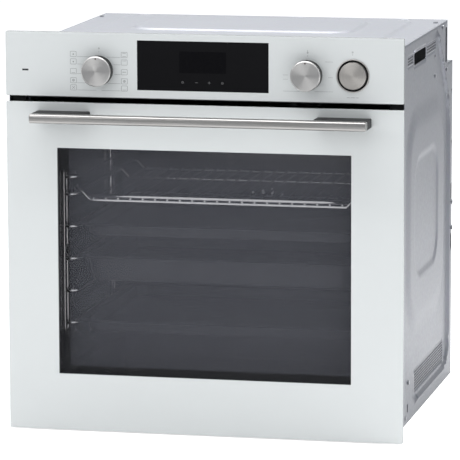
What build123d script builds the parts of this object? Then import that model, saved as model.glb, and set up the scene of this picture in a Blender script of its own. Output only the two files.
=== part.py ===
from build123d import *
import os
from math import cos, radians, sin

# Built-in wall oven: housing, cavity with its fittings, control panel and drop-down door.
#
# Millimetres. X runs to the right, Y to the back, Z up. The origin is on the base plane, in the
# middle of the width, in the plane where the side flanges rest against the cabinet.

os.makedirs("parts", exist_ok=True)

# Overall sizes
FRONT_WIDTH = 595.0        # glass front, side to side
FRONT_HEIGHT = 594.5       # glass front, bottom of the door to top of the control panel
FRONT_BOTTOM = 2.0         # lower edge of the door above the base plane
GLASS_STAND = 24.0         # glass face in front of the cabinet plane
BODY_DEPTH = 487.0         # cabinet plane to the upper rear wall
REAR_BULGE = 50.0          # the lower rear stands this far behind the upper rear
FLANGE_REACH = 21.0        # the front is this much wider than the body on each side
TOP_DROP = 23.5            # the body's top lies this far below the front's top
NOTCH_DROP = 69.0          # the lower rear ends this far below the body's top
CONTROL_HEIGHT = 95.0      # control panel
AIR_GAP = 8.7              # air outlet between the control panel and the door

# Sheet metal and clearances
SHEET = 1.0                # housing and cavity sheets
FRAME_SHEET = 1.2          # front frame
FIT = 0.3                  # gap between pieces that move past each other
RUNNING = 0.05             # radial clearance of a pin or shaft in its hole
SCREW_R = 1.6              # sheet metal screws
SCREW_HEAD_R = 3.6
SCREW_HEAD = 2.0

# Cavity
SIDE_SPACE = 36.5          # body side to the cavity's inner wall
TOP_SPACE = 133.0          # body top to the cavity's ceiling
REAR_SPACE = 37.0          # upper rear wall to the cavity's back wall
CAVITY_BOTTOM = 75.0       # cavity floor above the base plane
CAVITY_CORNER = 25.0       # corner radius
MOUTH_SETBACK = 24.0       # cavity mouth behind the cabinet plane
MOUTH_RISE = 26.0          # the mouth plate reaches this far above the cavity's ceiling
MOUTH_FOOT = 24.0          # lower edge of the mouth plate
SEAL_HEIGHT = 4.2
SEAL_WIDTH = 8.0
SEAL_INSET = 4.0           # seal outside the mouth's edge
WOOL_TOP = 24.0            # insulation thickness over the cavity
WOOL_SIDE = 24.0
WOOL_UNDER = 14.0
WOOL_BACK = 22.0
WOOL_GAP = 1.0             # between the insulation and the cavity
ELEMENT_SPACE = 12.0       # room for the lower element under the floor

# Racks, shelf and trays
LEVELS = 5
FIRST_LEVEL = 71.0         # lowest rung above the cavity floor
LAST_LEVEL = 98.0          # highest rung below the ceiling
RACK_WIRE_R = 2.5
RUNG_R = 2.2               # rungs are thinner than the uprights
RACK_WALL_GAP = 1.5        # rack uprights off the cavity wall
RUNG_REACH = 19.0          # rungs stand this far inside the uprights
RACK_FRONT = 66.0          # first upright behind the cabinet plane
RACK_PAIR = 17.0           # spacing of the two uprights at each end
RACK_BACK_GAP = 82.0       # last upright in front of the cavity's back wall
RACK_OVERHANG = 35.0       # uprights above the highest rung
RACK_FOOT = 13.0           # uprights below the lowest rung
SHELF_FRONT = 66.0
SHELF_BACK_GAP = 34.0      # shelf and trays end this far in front of the back wall
SHELF_DROP = 12.5          # grid below the side rails
SHELF_GRID = 19.0          # spacing of the grid wires
SHELF_WIRE_R = 1.6
SHELF_BAR_R = 2.0
TRAY_SHEET = 1.2
TRAY_RIM = 15.0            # width of the flat rim
TRAY_DEPTH = 18.0
DEEP_TRAY_DEPTH = 38.0
TRAY_DRAFT = 8.0           # slope of the tray walls in degrees

# Fans and heating elements
FAN_R = 75.0
FAN_BLADE = 14.0
FAN_HEIGHT = 183.0         # fan axis above the cavity floor
FAN_SHAFT_R = 4.0
FAN_MOTOR_R = 34.0
RING_R = 98.0
ELEMENT_R = 3.25
BAFFLE_HALF = 150.0
BAFFLE_DEPTH = 22.0
BAFFLE_FOOT = 45.0         # fan cover's lower edge above the cavity floor
BAFFLE_HEAD = 45.0         # and its upper edge below the ceiling
LAMP_X = 193.0
LAMP_DROP = 58.0           # lamp axis below the ceiling
LAMP_R = 26.0
DUCT_HEIGHT = 29.0
BLOWER_R = 48.0
BLOWER_X = 70.0
BLOWER_FROM_BACK = 150.0
BLOWER_HEIGHT = 38.0

# Control panel
PANEL_GLASS = 5.0
CHASSIS_DEPTH = 7.8
CHASSIS_WALL = 1.5
KNOB_X = 156.0
KNOB_DROP = 55.3           # knob axes below the top of the panel
KNOB_R = 22.3
KNOB_DEPTH = 20.0
KNOB_GAP = 0.5             # knob skirt in front of the glass
SPINDLE_R = 3.0
TIMER_FROM_EDGE = 74.9
TIMER_R = 20.2
TIMER_RING = 3.3           # wall of the black cup around the timer knob
WELL_GAP = 0.6             # between the timer knob and its cup
TIMER_PROUD = 3.5
TIMER_LENGTH = 22.0
DISPLAY_HALF = 98.1
DISPLAY_HEIGHT = 72.8
DISPLAY_DROP = 10.2        # top of the display below the top of the panel
INDICATOR_FROM_EDGE = 29.9
INDICATOR_SIZE = (9.4, 2.4)

# Door
DOOR_GLASS = 4.0
INNER_GLASS = 4.0
MIDDLE_GLASS = 3.0
DOOR_CLEARANCE = 0.3       # inner glass to the uncompressed seal
RAIL_DEPTH = 8.0           # grey side rails right behind the outer glass
RAIL_INSET = 1.5           # rails and flanges inside the glass edge
COLUMN_IN = 32.5           # column's inner side, from the body side
COLUMN_OUT = 10.5          # column's outer side, from the body side
COLUMN_SHEET = 1.2
DOOR_FOOT = 46.0           # lower edge of the door's lower trim
TRIM_HEIGHT = 14.0
TOP_TRIM = 28.5
PIVOT_Y = -6.0             # hinge axis
PIVOT_Z = 16.0
PIN_R = 3.0
ARM_THICKNESS = 4.0
ARM_FROM_SIDE = 21.5       # middle of the hinge arm, from the body side
CHANNEL_HALF = 6.5
CHANNEL_SHEET = 1.5
HANDLE_LENGTH = 500.0
HANDLE_HEIGHT = 13.5
HANDLE_THICKNESS = 18.0
HANDLE_STAND = 31.0        # back of the bar in front of the glass
HANDLE_DROP = 12.8         # top of the bar below the top of the door
BRACKET_LENGTH = 80.0

# Side flanges
FLANGE_RETURN = 10.0       # depth of the folded edge
CORNER_CUT = 24.0          # the flanges start above the door's swing
FIXING_R = 2.75            # cabinet screws
FIXING_INSET = 12.0        # screw line inside the glass edge
FIXING_LOW = 60.0
FIXING_HIGH_DROP = 103.0   # upper screws below the body's top

# Places worked out from the sizes above
front_half = FRONT_WIDTH / 2
front_top = FRONT_BOTTOM + FRONT_HEIGHT
glass_face = -GLASS_STAND
body_half = front_half - FLANGE_REACH
inside_half = body_half - SHEET
body_top = front_top - TOP_DROP
lid_under = body_top - SHEET
notch = body_top - NOTCH_DROP
lower_back = BODY_DEPTH + REAR_BULGE
panel_bottom = front_top - CONTROL_HEIGHT
door_top = panel_bottom - AIR_GAP
cavity_half = body_half - SIDE_SPACE
cavity_top = body_top - TOP_SPACE
cavity_back = BODY_DEPTH - REAR_SPACE
cavity_height = cavity_top - CAVITY_BOTTOM
cavity_middle = (cavity_top + CAVITY_BOTTOM) / 2
mouth_top = cavity_top + MOUTH_RISE
wool_back = cavity_back + SHEET + WOOL_GAP + WOOL_BACK
fan_z = CAVITY_BOTTOM + FAN_HEIGHT
lamp_z = cavity_top - LAMP_DROP
level_pitch = (cavity_height - FIRST_LEVEL - LAST_LEVEL) / (LEVELS - 1)
rack_x = cavity_half - RACK_WALL_GAP - RACK_WIRE_R
rung_x = rack_x - RUNG_REACH
rack_back = cavity_back - RACK_BACK_GAP
shelf_back = cavity_back - SHELF_BACK_GAP
knob_z = front_top - KNOB_DROP
timer_x = front_half - TIMER_FROM_EDGE
well_r = TIMER_R + WELL_GAP + TIMER_RING
display_top = front_top - DISPLAY_DROP
display_z = display_top - DISPLAY_HEIGHT / 2
indicator_x = -front_half + INDICATOR_FROM_EDGE
panel_back = glass_face + PANEL_GLASS
chassis_back = panel_back + CHASSIS_DEPTH
door_glass_back = glass_face + DOOR_GLASS
door_inner_face = MOUTH_SETBACK - SEAL_HEIGHT - DOOR_CLEARANCE
inner_glass_front = door_inner_face - INNER_GLASS
duct_floor = mouth_top + FIT
duct_top = duct_floor + DUCT_HEIGHT
blower_y = BODY_DEPTH - BLOWER_FROM_BACK
arm_x = body_half - ARM_FROM_SIDE
handle_top = door_top - HANDLE_DROP
handle_back = glass_face - HANDLE_STAND
handle_front = handle_back - HANDLE_THICKNESS
handle_z = handle_top - HANDLE_HEIGHT / 2
bracket_x = HANDLE_LENGTH / 2 - BRACKET_LENGTH / 2
SIDES = (-1, 1)


def level_z(number):
    """Height of a rung's middle; levels count from 1 at the bottom."""
    return CAVITY_BOTTOM + FIRST_LEVEL + (number - 1) * level_pitch


def front_plane(y):
    """Sketch plane that reads as X, Z from the front; extrusions run towards the front."""
    return Plane(origin=(0, y, 0), x_dir=(1, 0, 0), z_dir=(0, -1, 0))


def side_plane(x):
    """Sketch plane that reads as Y, Z; extrusions run to the right."""
    return Plane(origin=(x, 0, 0), x_dir=(0, 1, 0), z_dir=(1, 0, 0))


def block(x, y, z, mode=Mode.ADD):
    """A box between two values of X, of Y and of Z."""
    with Locations(((x[0] + x[1]) / 2, (y[0] + y[1]) / 2, (z[0] + z[1]) / 2)):
        Box(abs(x[1] - x[0]), abs(y[1] - y[0]), abs(z[1] - z[0]), mode=mode)


def round_x(x, y, z, radius, mode=Mode.ADD):
    """A cylinder along X between two values of X."""
    with Locations(((x[0] + x[1]) / 2, y, z)):
        Cylinder(radius, abs(x[1] - x[0]), rotation=(0, 90, 0), mode=mode)


def round_y(x, y, z, radius, mode=Mode.ADD):
    """A cylinder along Y between two values of Y."""
    with Locations((x, (y[0] + y[1]) / 2, z)):
        Cylinder(radius, abs(y[1] - y[0]), rotation=(90, 0, 0), mode=mode)


def round_z(x, y, z, radius, mode=Mode.ADD):
    """A cylinder along Z between two values of Z."""
    with Locations((x, y, (z[0] + z[1]) / 2)):
        Cylinder(radius, abs(z[1] - z[0]), mode=mode)


def wire(points, bend, radius):
    """A round wire or tube along straight runs joined by arcs of one radius."""
    with BuildLine(mode=Mode.PRIVATE) as run:
        path = FilletPolyline(*points, radius=bend)
    with BuildSketch(Plane(origin=path @ 0, z_dir=path % 0), mode=Mode.PRIVATE) as section:
        Circle(radius)
    sweep(section.sketch, path=run.line)


def save(part, label):
    part.label = label
    export_step(part, "parts/" + label + ".step")


# ---------------------------------------------------------------- housing
# Base panel: folded tray with air slots.
BASE_FRONT = 18.0
BASE_FLANGE = 15.0
AIR_SLOT = (5.0, 60.0)
LOW_SCREW = (112.0, 11.0)    # Y and Z of the screw through each side flange

with BuildPart() as base_panel:
    block((-inside_half, inside_half), (BASE_FRONT, lower_back - SHEET), (0, SHEET))
    for side in SIDES:
        flange_inner = side * (inside_half - SHEET)
        block((flange_inner, side * inside_half), (BASE_FRONT, lower_back - SHEET), (0, BASE_FLANGE))
    block((-inside_half, inside_half), (BASE_FRONT, BASE_FRONT + SHEET), (0, BASE_FLANGE))
    round_x((-inside_half, inside_half), LOW_SCREW[0], LOW_SCREW[1], SCREW_R, Mode.SUBTRACT)
    with BuildSketch(Plane.XY):
        for slot_y in (BASE_FRONT + 60, cavity_back - 60):
            with Locations((0, slot_y)):
                with GridLocations(16, 1, 20, 1):
                    SlotOverall(AIR_SLOT[1], AIR_SLOT[0], rotation=90)
    extrude(amount=SHEET, mode=Mode.SUBTRACT)
save(base_panel.part, "base_panel")

# Side panels: one sheet each, folded outwards to the cabinet flange, with a carrying hole and
# rows of air slots.
CARRY_SIZE = (100.0, 18.0)
CARRY_FRONT = 183.0
VENT_DROP = 27.5           # middle of the upper openings below the body's top
VENT_HEIGHT = 16.0
VENT_SLOT = 3.2
VENT_PITCH = 6.0
FRONT_VENTS = 8
FRONT_VENT_START = 129.0
REAR_VENTS = 14
REAR_VENT_START = 297.0
LOW_VENTS = 43
LOW_VENT_START = 196.0
LOW_VENT_Z = 53.0
LOW_VENT_HEIGHT = 13.0
LOW_VENT_ROWS = 17.0
side_screws = [
    (BODY_DEPTH - 48, body_top - 7),
    (BODY_DEPTH - 9, notch - 8),
    (BODY_DEPTH - 118, notch - 6),
    (139, 61),
    LOW_SCREW,
    (lower_back - 3.6 - 1, cavity_middle + 20),
    (lower_back - 3.6 - 1, cavity_middle - 21),
]


def side_panel(side):
    """The panel on one side: -1 left, 1 right."""
    flange = (side * inside_half, side * (front_half - RAIL_INSET))
    edge = (side * (front_half - RAIL_INSET - SHEET), side * (front_half - RAIL_INSET))
    with BuildPart() as panel:
        with BuildSketch(side_plane(min(side * body_half, side * inside_half))):
            with BuildLine():
                Polyline(
                    (BASE_FRONT, 0), (lower_back, 0), (lower_back, notch), (BODY_DEPTH, notch),
                    (BODY_DEPTH, lid_under), (-SHEET, lid_under), (-SHEET, CORNER_CUT),
                    (BASE_FRONT, CORNER_CUT), close=True)
            make_face()
            with Locations((CARRY_FRONT + CARRY_SIZE[0] / 2, body_top - VENT_DROP - 2)):
                RectangleRounded(CARRY_SIZE[0], CARRY_SIZE[1], 4, mode=Mode.SUBTRACT)
            for start, count in ((FRONT_VENT_START, FRONT_VENTS), (REAR_VENT_START, REAR_VENTS)):
                with Locations((start + (count - 1) * VENT_PITCH / 2, body_top - VENT_DROP)):
                    with GridLocations(VENT_PITCH, 1, count, 1):
                        SlotOverall(VENT_HEIGHT, VENT_SLOT, rotation=90, mode=Mode.SUBTRACT)
            with Locations((LOW_VENT_START + (LOW_VENTS - 1) * VENT_PITCH / 2, LOW_VENT_Z)):
                with GridLocations(VENT_PITCH, LOW_VENT_ROWS, LOW_VENTS, 2):
                    SlotOverall(LOW_VENT_HEIGHT, VENT_SLOT, rotation=90, mode=Mode.SUBTRACT)
            with Locations((134, 22.5)):
                SlotOverall(10.5, 3.6, rotation=90, mode=Mode.SUBTRACT)
            with Locations((BODY_DEPTH - 13, body_top - 38)):
                SlotOverall(54, 4, rotation=90, mode=Mode.SUBTRACT)
            with Locations((lower_back - 4, cavity_middle + 38), (lower_back - 4, cavity_middle - 43)):
                SlotOverall(24, 3, rotation=90, mode=Mode.SUBTRACT)
            with Locations((BODY_DEPTH - 117, notch + 24), (lower_back - 6, notch - 47)):
                Circle(2.5, mode=Mode.SUBTRACT)
            with Locations((lower_back - 6, notch - 129), *side_screws):
                Circle(SCREW_R, mode=Mode.SUBTRACT)
        extrude(amount=SHEET)
        block(flange, (-SHEET, 0), (CORNER_CUT, lid_under))
        block(edge, (-FLANGE_RETURN - SHEET, 0), (CORNER_CUT, lid_under))
        for z in (FIXING_LOW, body_top - FIXING_HIGH_DROP):
            round_y(side * (front_half - FIXING_INSET), (-SHEET, 0), z, FIXING_R, Mode.SUBTRACT)
    return panel.part


save(side_panel(-1), "left_side_panel")
save(side_panel(1), "right_side_panel")

# Top panel: flat lid over both sides.
top_screws = [(x, y) for x in (-body_half + 9, body_half - 9) for y in (60, BODY_DEPTH - 60)]

with BuildPart() as top_panel:
    with BuildSketch(Plane.XY.offset(lid_under)):
        with Locations((0, (BODY_DEPTH - SHEET) / 2)):
            Rectangle(2 * body_half, BODY_DEPTH + SHEET)
        with Locations((0, BODY_DEPTH - 5)):
            with GridLocations(body_half - 66, 1, 3, 1):
                SlotOverall(14, 3.4, mode=Mode.SUBTRACT)
        with Locations(*top_screws):
            Circle(SCREW_R, mode=Mode.SUBTRACT)
    extrude(amount=SHEET)
save(top_panel.part, "top_panel")

# Rear cover: upright sheet behind the fan motor, folded forward at the top.
rear_screws = [(x, z) for x in (-body_half + 30, body_half - 30) for z in (40, cavity_middle, notch - 30)]
upper_screws = [(x, (notch + body_top) / 2) for x in (-body_half + 12, body_half - 12)]

with BuildPart() as rear_cover:
    with BuildSketch(front_plane(lower_back)):
        with Locations((0, notch / 2)):
            Rectangle(2 * inside_half, notch)
        for vent_z in (fan_z - 24, fan_z, fan_z + 24):
            with Locations((0, vent_z)):
                with GridLocations(9, 1, 12, 1):
                    SlotOverall(18, 3.6, rotation=90, mode=Mode.SUBTRACT)
        with Locations((0, 30)):
            with GridLocations(12, 1, 30, 1):
                SlotOverall(22, 4, rotation=90, mode=Mode.SUBTRACT)
        with Locations(*rear_screws):
            Circle(SCREW_R, mode=Mode.SUBTRACT)
    extrude(amount=SHEET)
    block((-inside_half, inside_half), (BODY_DEPTH, lower_back), (notch - SHEET, notch))
save(rear_cover.part, "rear_cover")

# Upper rear panel: closes the electrical compartment and carries the terminal block.
TERMINAL_X = -185.0
INLET_R = 6.0
terminal_z = (notch + body_top) / 2

with BuildPart() as upper_rear_panel:
    with BuildSketch(front_plane(BODY_DEPTH)):
        with Locations((0, (notch + lid_under) / 2 - SHEET / 2)):
            Rectangle(2 * inside_half, lid_under - notch + SHEET)
        with Locations((40, terminal_z)):
            with GridLocations(12, 1, 18, 1):
                SlotOverall(34, 4, rotation=90, mode=Mode.SUBTRACT)
        with Locations((TERMINAL_X, terminal_z)):
            Rectangle(40, 18, mode=Mode.SUBTRACT)
        with Locations(*upper_screws):
            Circle(SCREW_R, mode=Mode.SUBTRACT)
    extrude(amount=SHEET)
save(upper_rear_panel.part, "upper_rear_panel")

# Front frame: black arch of sheet steel on the faces of both flanges.
FRAME_BAR = 12.0
frame_half = front_half - RAIL_INSET - SHEET
frame_face = -SHEET - FRAME_SHEET

with BuildPart() as front_frame:
    with BuildSketch(front_plane(-SHEET)):
        with Locations((0, (CORNER_CUT + lid_under) / 2)):
            Rectangle(2 * frame_half, lid_under - CORNER_CUT)
        with Locations((0, (CORNER_CUT + lid_under - FRAME_BAR) / 2)):
            Rectangle(2 * (inside_half - 2), lid_under - CORNER_CUT - FRAME_BAR, mode=Mode.SUBTRACT)
        for side in SIDES:
            with Locations(*[(side * (front_half - FIXING_INSET), z)
                             for z in (FIXING_LOW, body_top - FIXING_HIGH_DROP)]):
                Circle(FIXING_R, mode=Mode.SUBTRACT)
    extrude(amount=FRAME_SHEET)
save(front_frame.part, "front_frame")

# Screws of the sheet metal housing: pan heads outside, shanks through the sheets.
SHANK = 6.0


def screws_x(side):
    for y, z in side_screws:
        outer = side * body_half
        round_x((outer, outer + side * SCREW_HEAD), y, z, SCREW_HEAD_R)
        round_x((outer, outer - side * SHANK), y, z, SCREW_R)


with BuildPart() as body_screws:
    for side in SIDES:
        screws_x(side)
    for x, z in rear_screws:
        round_y(x, (lower_back, lower_back + SCREW_HEAD), z, SCREW_HEAD_R)
        round_y(x, (lower_back - SHANK, lower_back), z, SCREW_R)
    for x, z in upper_screws:
        round_y(x, (BODY_DEPTH, BODY_DEPTH + SCREW_HEAD), z, SCREW_HEAD_R)
        round_y(x, (BODY_DEPTH - SHANK, BODY_DEPTH), z, SCREW_R)
    for x, y in top_screws:
        round_z(x, y, (body_top, body_top + SCREW_HEAD), SCREW_HEAD_R)
        round_z(x, y, (body_top - SHANK, body_top), SCREW_R)
save(body_screws.part, "body_screws")

# ---------------------------------------------------------------- cavity
ARM_SLOT = (9.0, 26.0)     # width and height of the hinge arm's way through the mouth plate
shaft_hole = FAN_SHAFT_R + 2
ring_terminals = [(x, fan_z + RING_R) for x in (-12, 12)]
GRILL_X = 60.0
grill_z = cavity_top - 16
UNDER_X = 60.0
under_z = CAVITY_BOTTOM - SHEET - ELEMENT_R
PROBE_X = -193.0
probe_z = cavity_top - 45
PROBE_R = 2.5
SOCKET_R = 20.0
stud_y = (RACK_FRONT + RACK_PAIR / 2, rack_back - RACK_PAIR / 2)
STUD_R = 4.0

# Cavity: enamelled box with rounded corners and the flat mouth plate around its opening.
with BuildPart() as cavity:
    with BuildSketch(front_plane(cavity_back + SHEET)):
        with Locations((0, cavity_middle)):
            RectangleRounded(2 * (cavity_half + SHEET), cavity_height + 2 * SHEET, CAVITY_CORNER + SHEET)
    extrude(amount=cavity_back + SHEET - MOUTH_SETBACK)
    block((-inside_half, inside_half), (MOUTH_SETBACK, MOUTH_SETBACK + SHEET), (MOUTH_FOOT, mouth_top))
    with BuildSketch(front_plane(cavity_back)):
        with Locations((0, cavity_middle)):
            RectangleRounded(2 * cavity_half, cavity_height, CAVITY_CORNER)
    extrude(amount=cavity_back - MOUTH_SETBACK, mode=Mode.SUBTRACT)
    for side in SIDES:
        slot = (side * arm_x - ARM_SLOT[0] / 2, side * arm_x + ARM_SLOT[0] / 2)
        block(slot, (MOUTH_SETBACK, MOUTH_SETBACK + SHEET), (MOUTH_FOOT, MOUTH_FOOT + ARM_SLOT[1]),
              Mode.SUBTRACT)
        for y in stud_y:
            wall = (side * cavity_half, side * (cavity_half + SHEET))
            round_x(wall, y, cavity_middle, STUD_R, Mode.SUBTRACT)
    back_wall = (cavity_back, cavity_back + SHEET)
    round_y(0, back_wall, fan_z, shaft_hole, Mode.SUBTRACT)
    round_y(LAMP_X, back_wall, lamp_z, SOCKET_R, Mode.SUBTRACT)
    round_y(PROBE_X, back_wall, probe_z, PROBE_R, Mode.SUBTRACT)
    for x, z in [*ring_terminals, (-GRILL_X, grill_z), (GRILL_X, grill_z)]:
        round_y(x, back_wall, z, ELEMENT_R, Mode.SUBTRACT)
save(cavity.part, "cavity")

# Door seal: woven fibre ring pressed onto the mouth plate.
seal_half = cavity_half + SEAL_INSET + SEAL_WIDTH
seal_height = cavity_height + 2 * (SEAL_INSET + SEAL_WIDTH)

with BuildPart() as cavity_seal:
    with BuildSketch(front_plane(MOUTH_SETBACK)):
        with Locations((0, cavity_middle)):
            RectangleRounded(2 * seal_half, seal_height, CAVITY_CORNER + SEAL_INSET + SEAL_WIDTH)
            RectangleRounded(2 * (seal_half - SEAL_WIDTH), seal_height - 2 * SEAL_WIDTH,
                             CAVITY_CORNER + SEAL_INSET, mode=Mode.SUBTRACT)
    extrude(amount=SEAL_HEIGHT)
    fillet(cavity_seal.faces().sort_by(Axis.Y)[0].edges(), SEAL_HEIGHT * 0.8)
save(cavity_seal.part, "cavity_seal")

# Insulation: mineral wool blanket around the cavity, open at the front.
wool_half = cavity_half + SHEET + WOOL_GAP + WOOL_SIDE
wool_foot = CAVITY_BOTTOM - SHEET - ELEMENT_SPACE - WOOL_UNDER
wool_top = cavity_top + SHEET + WOOL_GAP + WOOL_TOP
WOOL_HOLE = 3.0            # extra radius around what passes through

with BuildPart() as insulation:
    block((-wool_half, wool_half), (MOUTH_SETBACK + SHEET + FIT, wool_back), (wool_foot, wool_top))
    block((-cavity_half - SHEET - WOOL_GAP, cavity_half + SHEET + WOOL_GAP),
          (MOUTH_SETBACK, cavity_back + SHEET + WOOL_GAP),
          (CAVITY_BOTTOM - SHEET - ELEMENT_SPACE, cavity_top + SHEET + WOOL_GAP), Mode.SUBTRACT)
    through = (cavity_back, wool_back)
    round_y(0, through, fan_z, FAN_SHAFT_R + WOOL_HOLE, Mode.SUBTRACT)
    round_y(LAMP_X, through, lamp_z, SOCKET_R + WOOL_HOLE, Mode.SUBTRACT)
    round_y(PROBE_X, through, probe_z, PROBE_R + WOOL_HOLE, Mode.SUBTRACT)
    under_ends = [(-UNDER_X, under_z), (UNDER_X, under_z)]
    for x, z in [*ring_terminals, (-GRILL_X, grill_z), (GRILL_X, grill_z), *under_ends]:
        round_y(x, through, z, ELEMENT_R + WOOL_HOLE, Mode.SUBTRACT)
    for side in SIDES:
        for y in stud_y:
            nut_side = (side * cavity_half, side * (cavity_half + 8))
            round_x(nut_side, y, cavity_middle, STUD_R + 5, Mode.SUBTRACT)
save(insulation.part, "insulation")


# Side racks: welded wire frames with one rung per level, bolted to the cavity walls.
def side_rack(side):
    """The rack on one side: -1 left, 1 right."""
    low = level_z(1) - RACK_FOOT
    high = level_z(LEVELS) + RACK_OVERHANG
    uprights = (RACK_FRONT, RACK_FRONT + RACK_PAIR, rack_back - RACK_PAIR, rack_back)
    wall_x = side * rack_x
    rungs = [level_z(number + 1) for number in range(LEVELS)]
    rungs.append(level_z(LEVELS) + RACK_OVERHANG - 9)
    with BuildPart() as rack:
        for y in uprights:
            round_z(wall_x, y, (low, high), RACK_WIRE_R)
        for z in (low, high):
            round_y(wall_x, (RACK_FRONT, RACK_FRONT + RACK_PAIR), z, RACK_WIRE_R)
            round_y(wall_x, (rack_back - RACK_PAIR, rack_back), z, RACK_WIRE_R)
            for y in uprights:
                with Locations((wall_x, y, z)):
                    Sphere(RACK_WIRE_R)
        for z in rungs:
            wire([(wall_x, RACK_FRONT, z), (side * rung_x, RACK_FRONT + 12, z),
                  (side * rung_x, rack_back - 12, z), (wall_x, rack_back, z)], 9, RUNG_R)
    return rack.part


save(side_rack(-1), "left_rack")
save(side_rack(1), "right_rack")

# Rack fixings: stud through the cavity wall, round head inside, nut outside.
with BuildPart() as rack_fixings:
    for side in SIDES:
        for y in stud_y:
            inner = side * (rack_x - RACK_WIRE_R)
            round_x((inner, side * (cavity_half + SHEET + 5)), y, cavity_middle, STUD_R)
            round_x((inner, inner - side * 4), y, cavity_middle, 8)
            round_x((side * (cavity_half + SHEET), side * (cavity_half + SHEET + 4)), y, cavity_middle, 7)
save(rack_fixings.part, "rack_fixings")

# Wire shelf: chromed, side rails on the top rungs and a lower grid between two front bars.
rail_z = level_z(LEVELS) + RUNG_R + RACK_WIRE_R + FIT
grid_z = rail_z - SHELF_DROP
KINK = 12.0                # run of the bend from rail height down to the grid
SHELF_SHOULDER = 9.0
grid_count = 2 * int((rung_x - SHELF_SHOULDER - KINK - 6) / SHELF_GRID) + 1

with BuildPart() as wire_shelf:
    for side in SIDES:
        round_y(side * rung_x, (SHELF_FRONT, shelf_back), rail_z, RACK_WIRE_R)
    for y in (SHELF_FRONT + 3, (SHELF_FRONT + 2 * shelf_back) / 3 + 14, shelf_back - 3):
        low_x = rung_x - SHELF_SHOULDER - KINK
        wire([(-rung_x, y, rail_z), (-rung_x + SHELF_SHOULDER, y, rail_z), (-low_x, y, grid_z),
              (low_x, y, grid_z), (rung_x - SHELF_SHOULDER, y, rail_z), (rung_x, y, rail_z)],
             5, SHELF_BAR_R)
    grid_top = grid_z + SHELF_BAR_R + SHELF_WIRE_R - 0.4
    for number in range(grid_count):
        wire_x = (number - (grid_count - 1) / 2) * SHELF_GRID
        round_y(wire_x, (SHELF_FRONT, shelf_back), grid_top, SHELF_WIRE_R)
    bar_half = (grid_count - 1) / 2 * SHELF_GRID + 8
    bar_z = grid_top + SHELF_WIRE_R + RACK_WIRE_R - 0.6
    round_x((-bar_half, bar_half), SHELF_FRONT + 2.5, bar_z, RACK_WIRE_R)
save(wire_shelf.part, "wire_shelf")


def tray(level, depth):
    """Pressed tray whose flat rim lies on the rungs of one level."""
    rim_z = level_z(level) + RUNG_R + FIT
    rim_half = rung_x + 5
    length = shelf_back - SHELF_FRONT
    middle = (shelf_back + SHELF_FRONT) / 2
    pan_half = rung_x - RACK_WIRE_R - 8
    pan_length = length - 2 * TRAY_RIM
    with BuildPart() as pan:
        with BuildSketch(Plane.XY.offset(rim_z)):
            with Locations((0, middle)):
                RectangleRounded(2 * rim_half, length, 16)
        extrude(amount=TRAY_SHEET)
        with BuildSketch(Plane.XY.offset(rim_z)):
            with Locations((0, middle)):
                RectangleRounded(2 * pan_half, pan_length, 22)
        extrude(amount=-depth + TRAY_SHEET, taper=TRAY_DRAFT)
        with BuildSketch(Plane.XY.offset(rim_z + TRAY_SHEET)):
            with Locations((0, middle)):
                RectangleRounded(2 * (pan_half - TRAY_SHEET), pan_length - 2 * TRAY_SHEET, 20)
        extrude(amount=-depth + TRAY_SHEET, taper=TRAY_DRAFT, mode=Mode.SUBTRACT)
    return pan.part


save(tray(4, TRAY_DEPTH), "baking_tray")
save(tray(3, DEEP_TRAY_DEPTH), "deep_tray")
save(tray(1, TRAY_DEPTH), "lower_tray")

# ---------------------------------------------------------------- heat and light
# Fan cover: enamelled baffle in front of the convection fan, with a suction grille.
baffle_front = cavity_back - BAFFLE_DEPTH
baffle_low = CAVITY_BOTTOM + BAFFLE_FOOT
baffle_high = cavity_top - BAFFLE_HEAD

with BuildPart() as fan_cover:
    with BuildSketch(front_plane(cavity_back)):
        with Locations((0, (baffle_low + baffle_high) / 2)):
            RectangleRounded(2 * BAFFLE_HALF, baffle_high - baffle_low, 20)
    extrude(amount=BAFFLE_DEPTH)
    with BuildSketch(front_plane(cavity_back)):
        with Locations((0, (baffle_low + baffle_high) / 2)):
            RectangleRounded(2 * (BAFFLE_HALF - SHEET), baffle_high - baffle_low - 2 * SHEET, 19)
    extrude(amount=BAFFLE_DEPTH - SHEET, mode=Mode.SUBTRACT)
    with BuildSketch(front_plane(baffle_front + SHEET)):
        with Locations((0, fan_z)):
            for radius, count in ((16, 6), (30, 12), (44, 18)):
                with PolarLocations(radius, count):
                    SlotOverall(10, 4.5)
    extrude(amount=SHEET, mode=Mode.SUBTRACT)
    for z in (baffle_low + 40, baffle_low + 80, baffle_high - 80, baffle_high - 40):
        for side in SIDES:
            wall = (side * (BAFFLE_HALF - SHEET), side * BAFFLE_HALF)
            block(wall, (baffle_front + 5, cavity_back - 5), (z - 14, z + 14), Mode.SUBTRACT)
save(fan_cover.part, "fan_cover")

# Ring element around the fan, its two ends out through the back wall.
ring_y = cavity_back - 12
ELEMENT_TAIL = 12.0        # ends behind the insulation
tail_y = wool_back + ELEMENT_TAIL
ring_end = ring_terminals[1][0]

with BuildPart() as ring_element:
    with BuildSketch(Plane.YZ):
        with Locations((ring_y, fan_z - RING_R)):
            Circle(ELEMENT_R)
    revolve(axis=Axis((0, 0, fan_z), (0, 1, 0)), revolution_arc=360)
    block((-ring_end, ring_end), (ring_y - 5, ring_y + 5), (fan_z, fan_z + RING_R + 10), Mode.SUBTRACT)
    for x, z in ring_terminals:
        round_y(x, (ring_y, tail_y), z, ELEMENT_R)
        with Locations((x, ring_y, z)):
            Sphere(ELEMENT_R)
save(ring_element.part, "ring_element")

# Grill element: loops under the ceiling.
GRILL_HALF = 185.0
grill_front = MOUTH_SETBACK + 60

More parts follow.
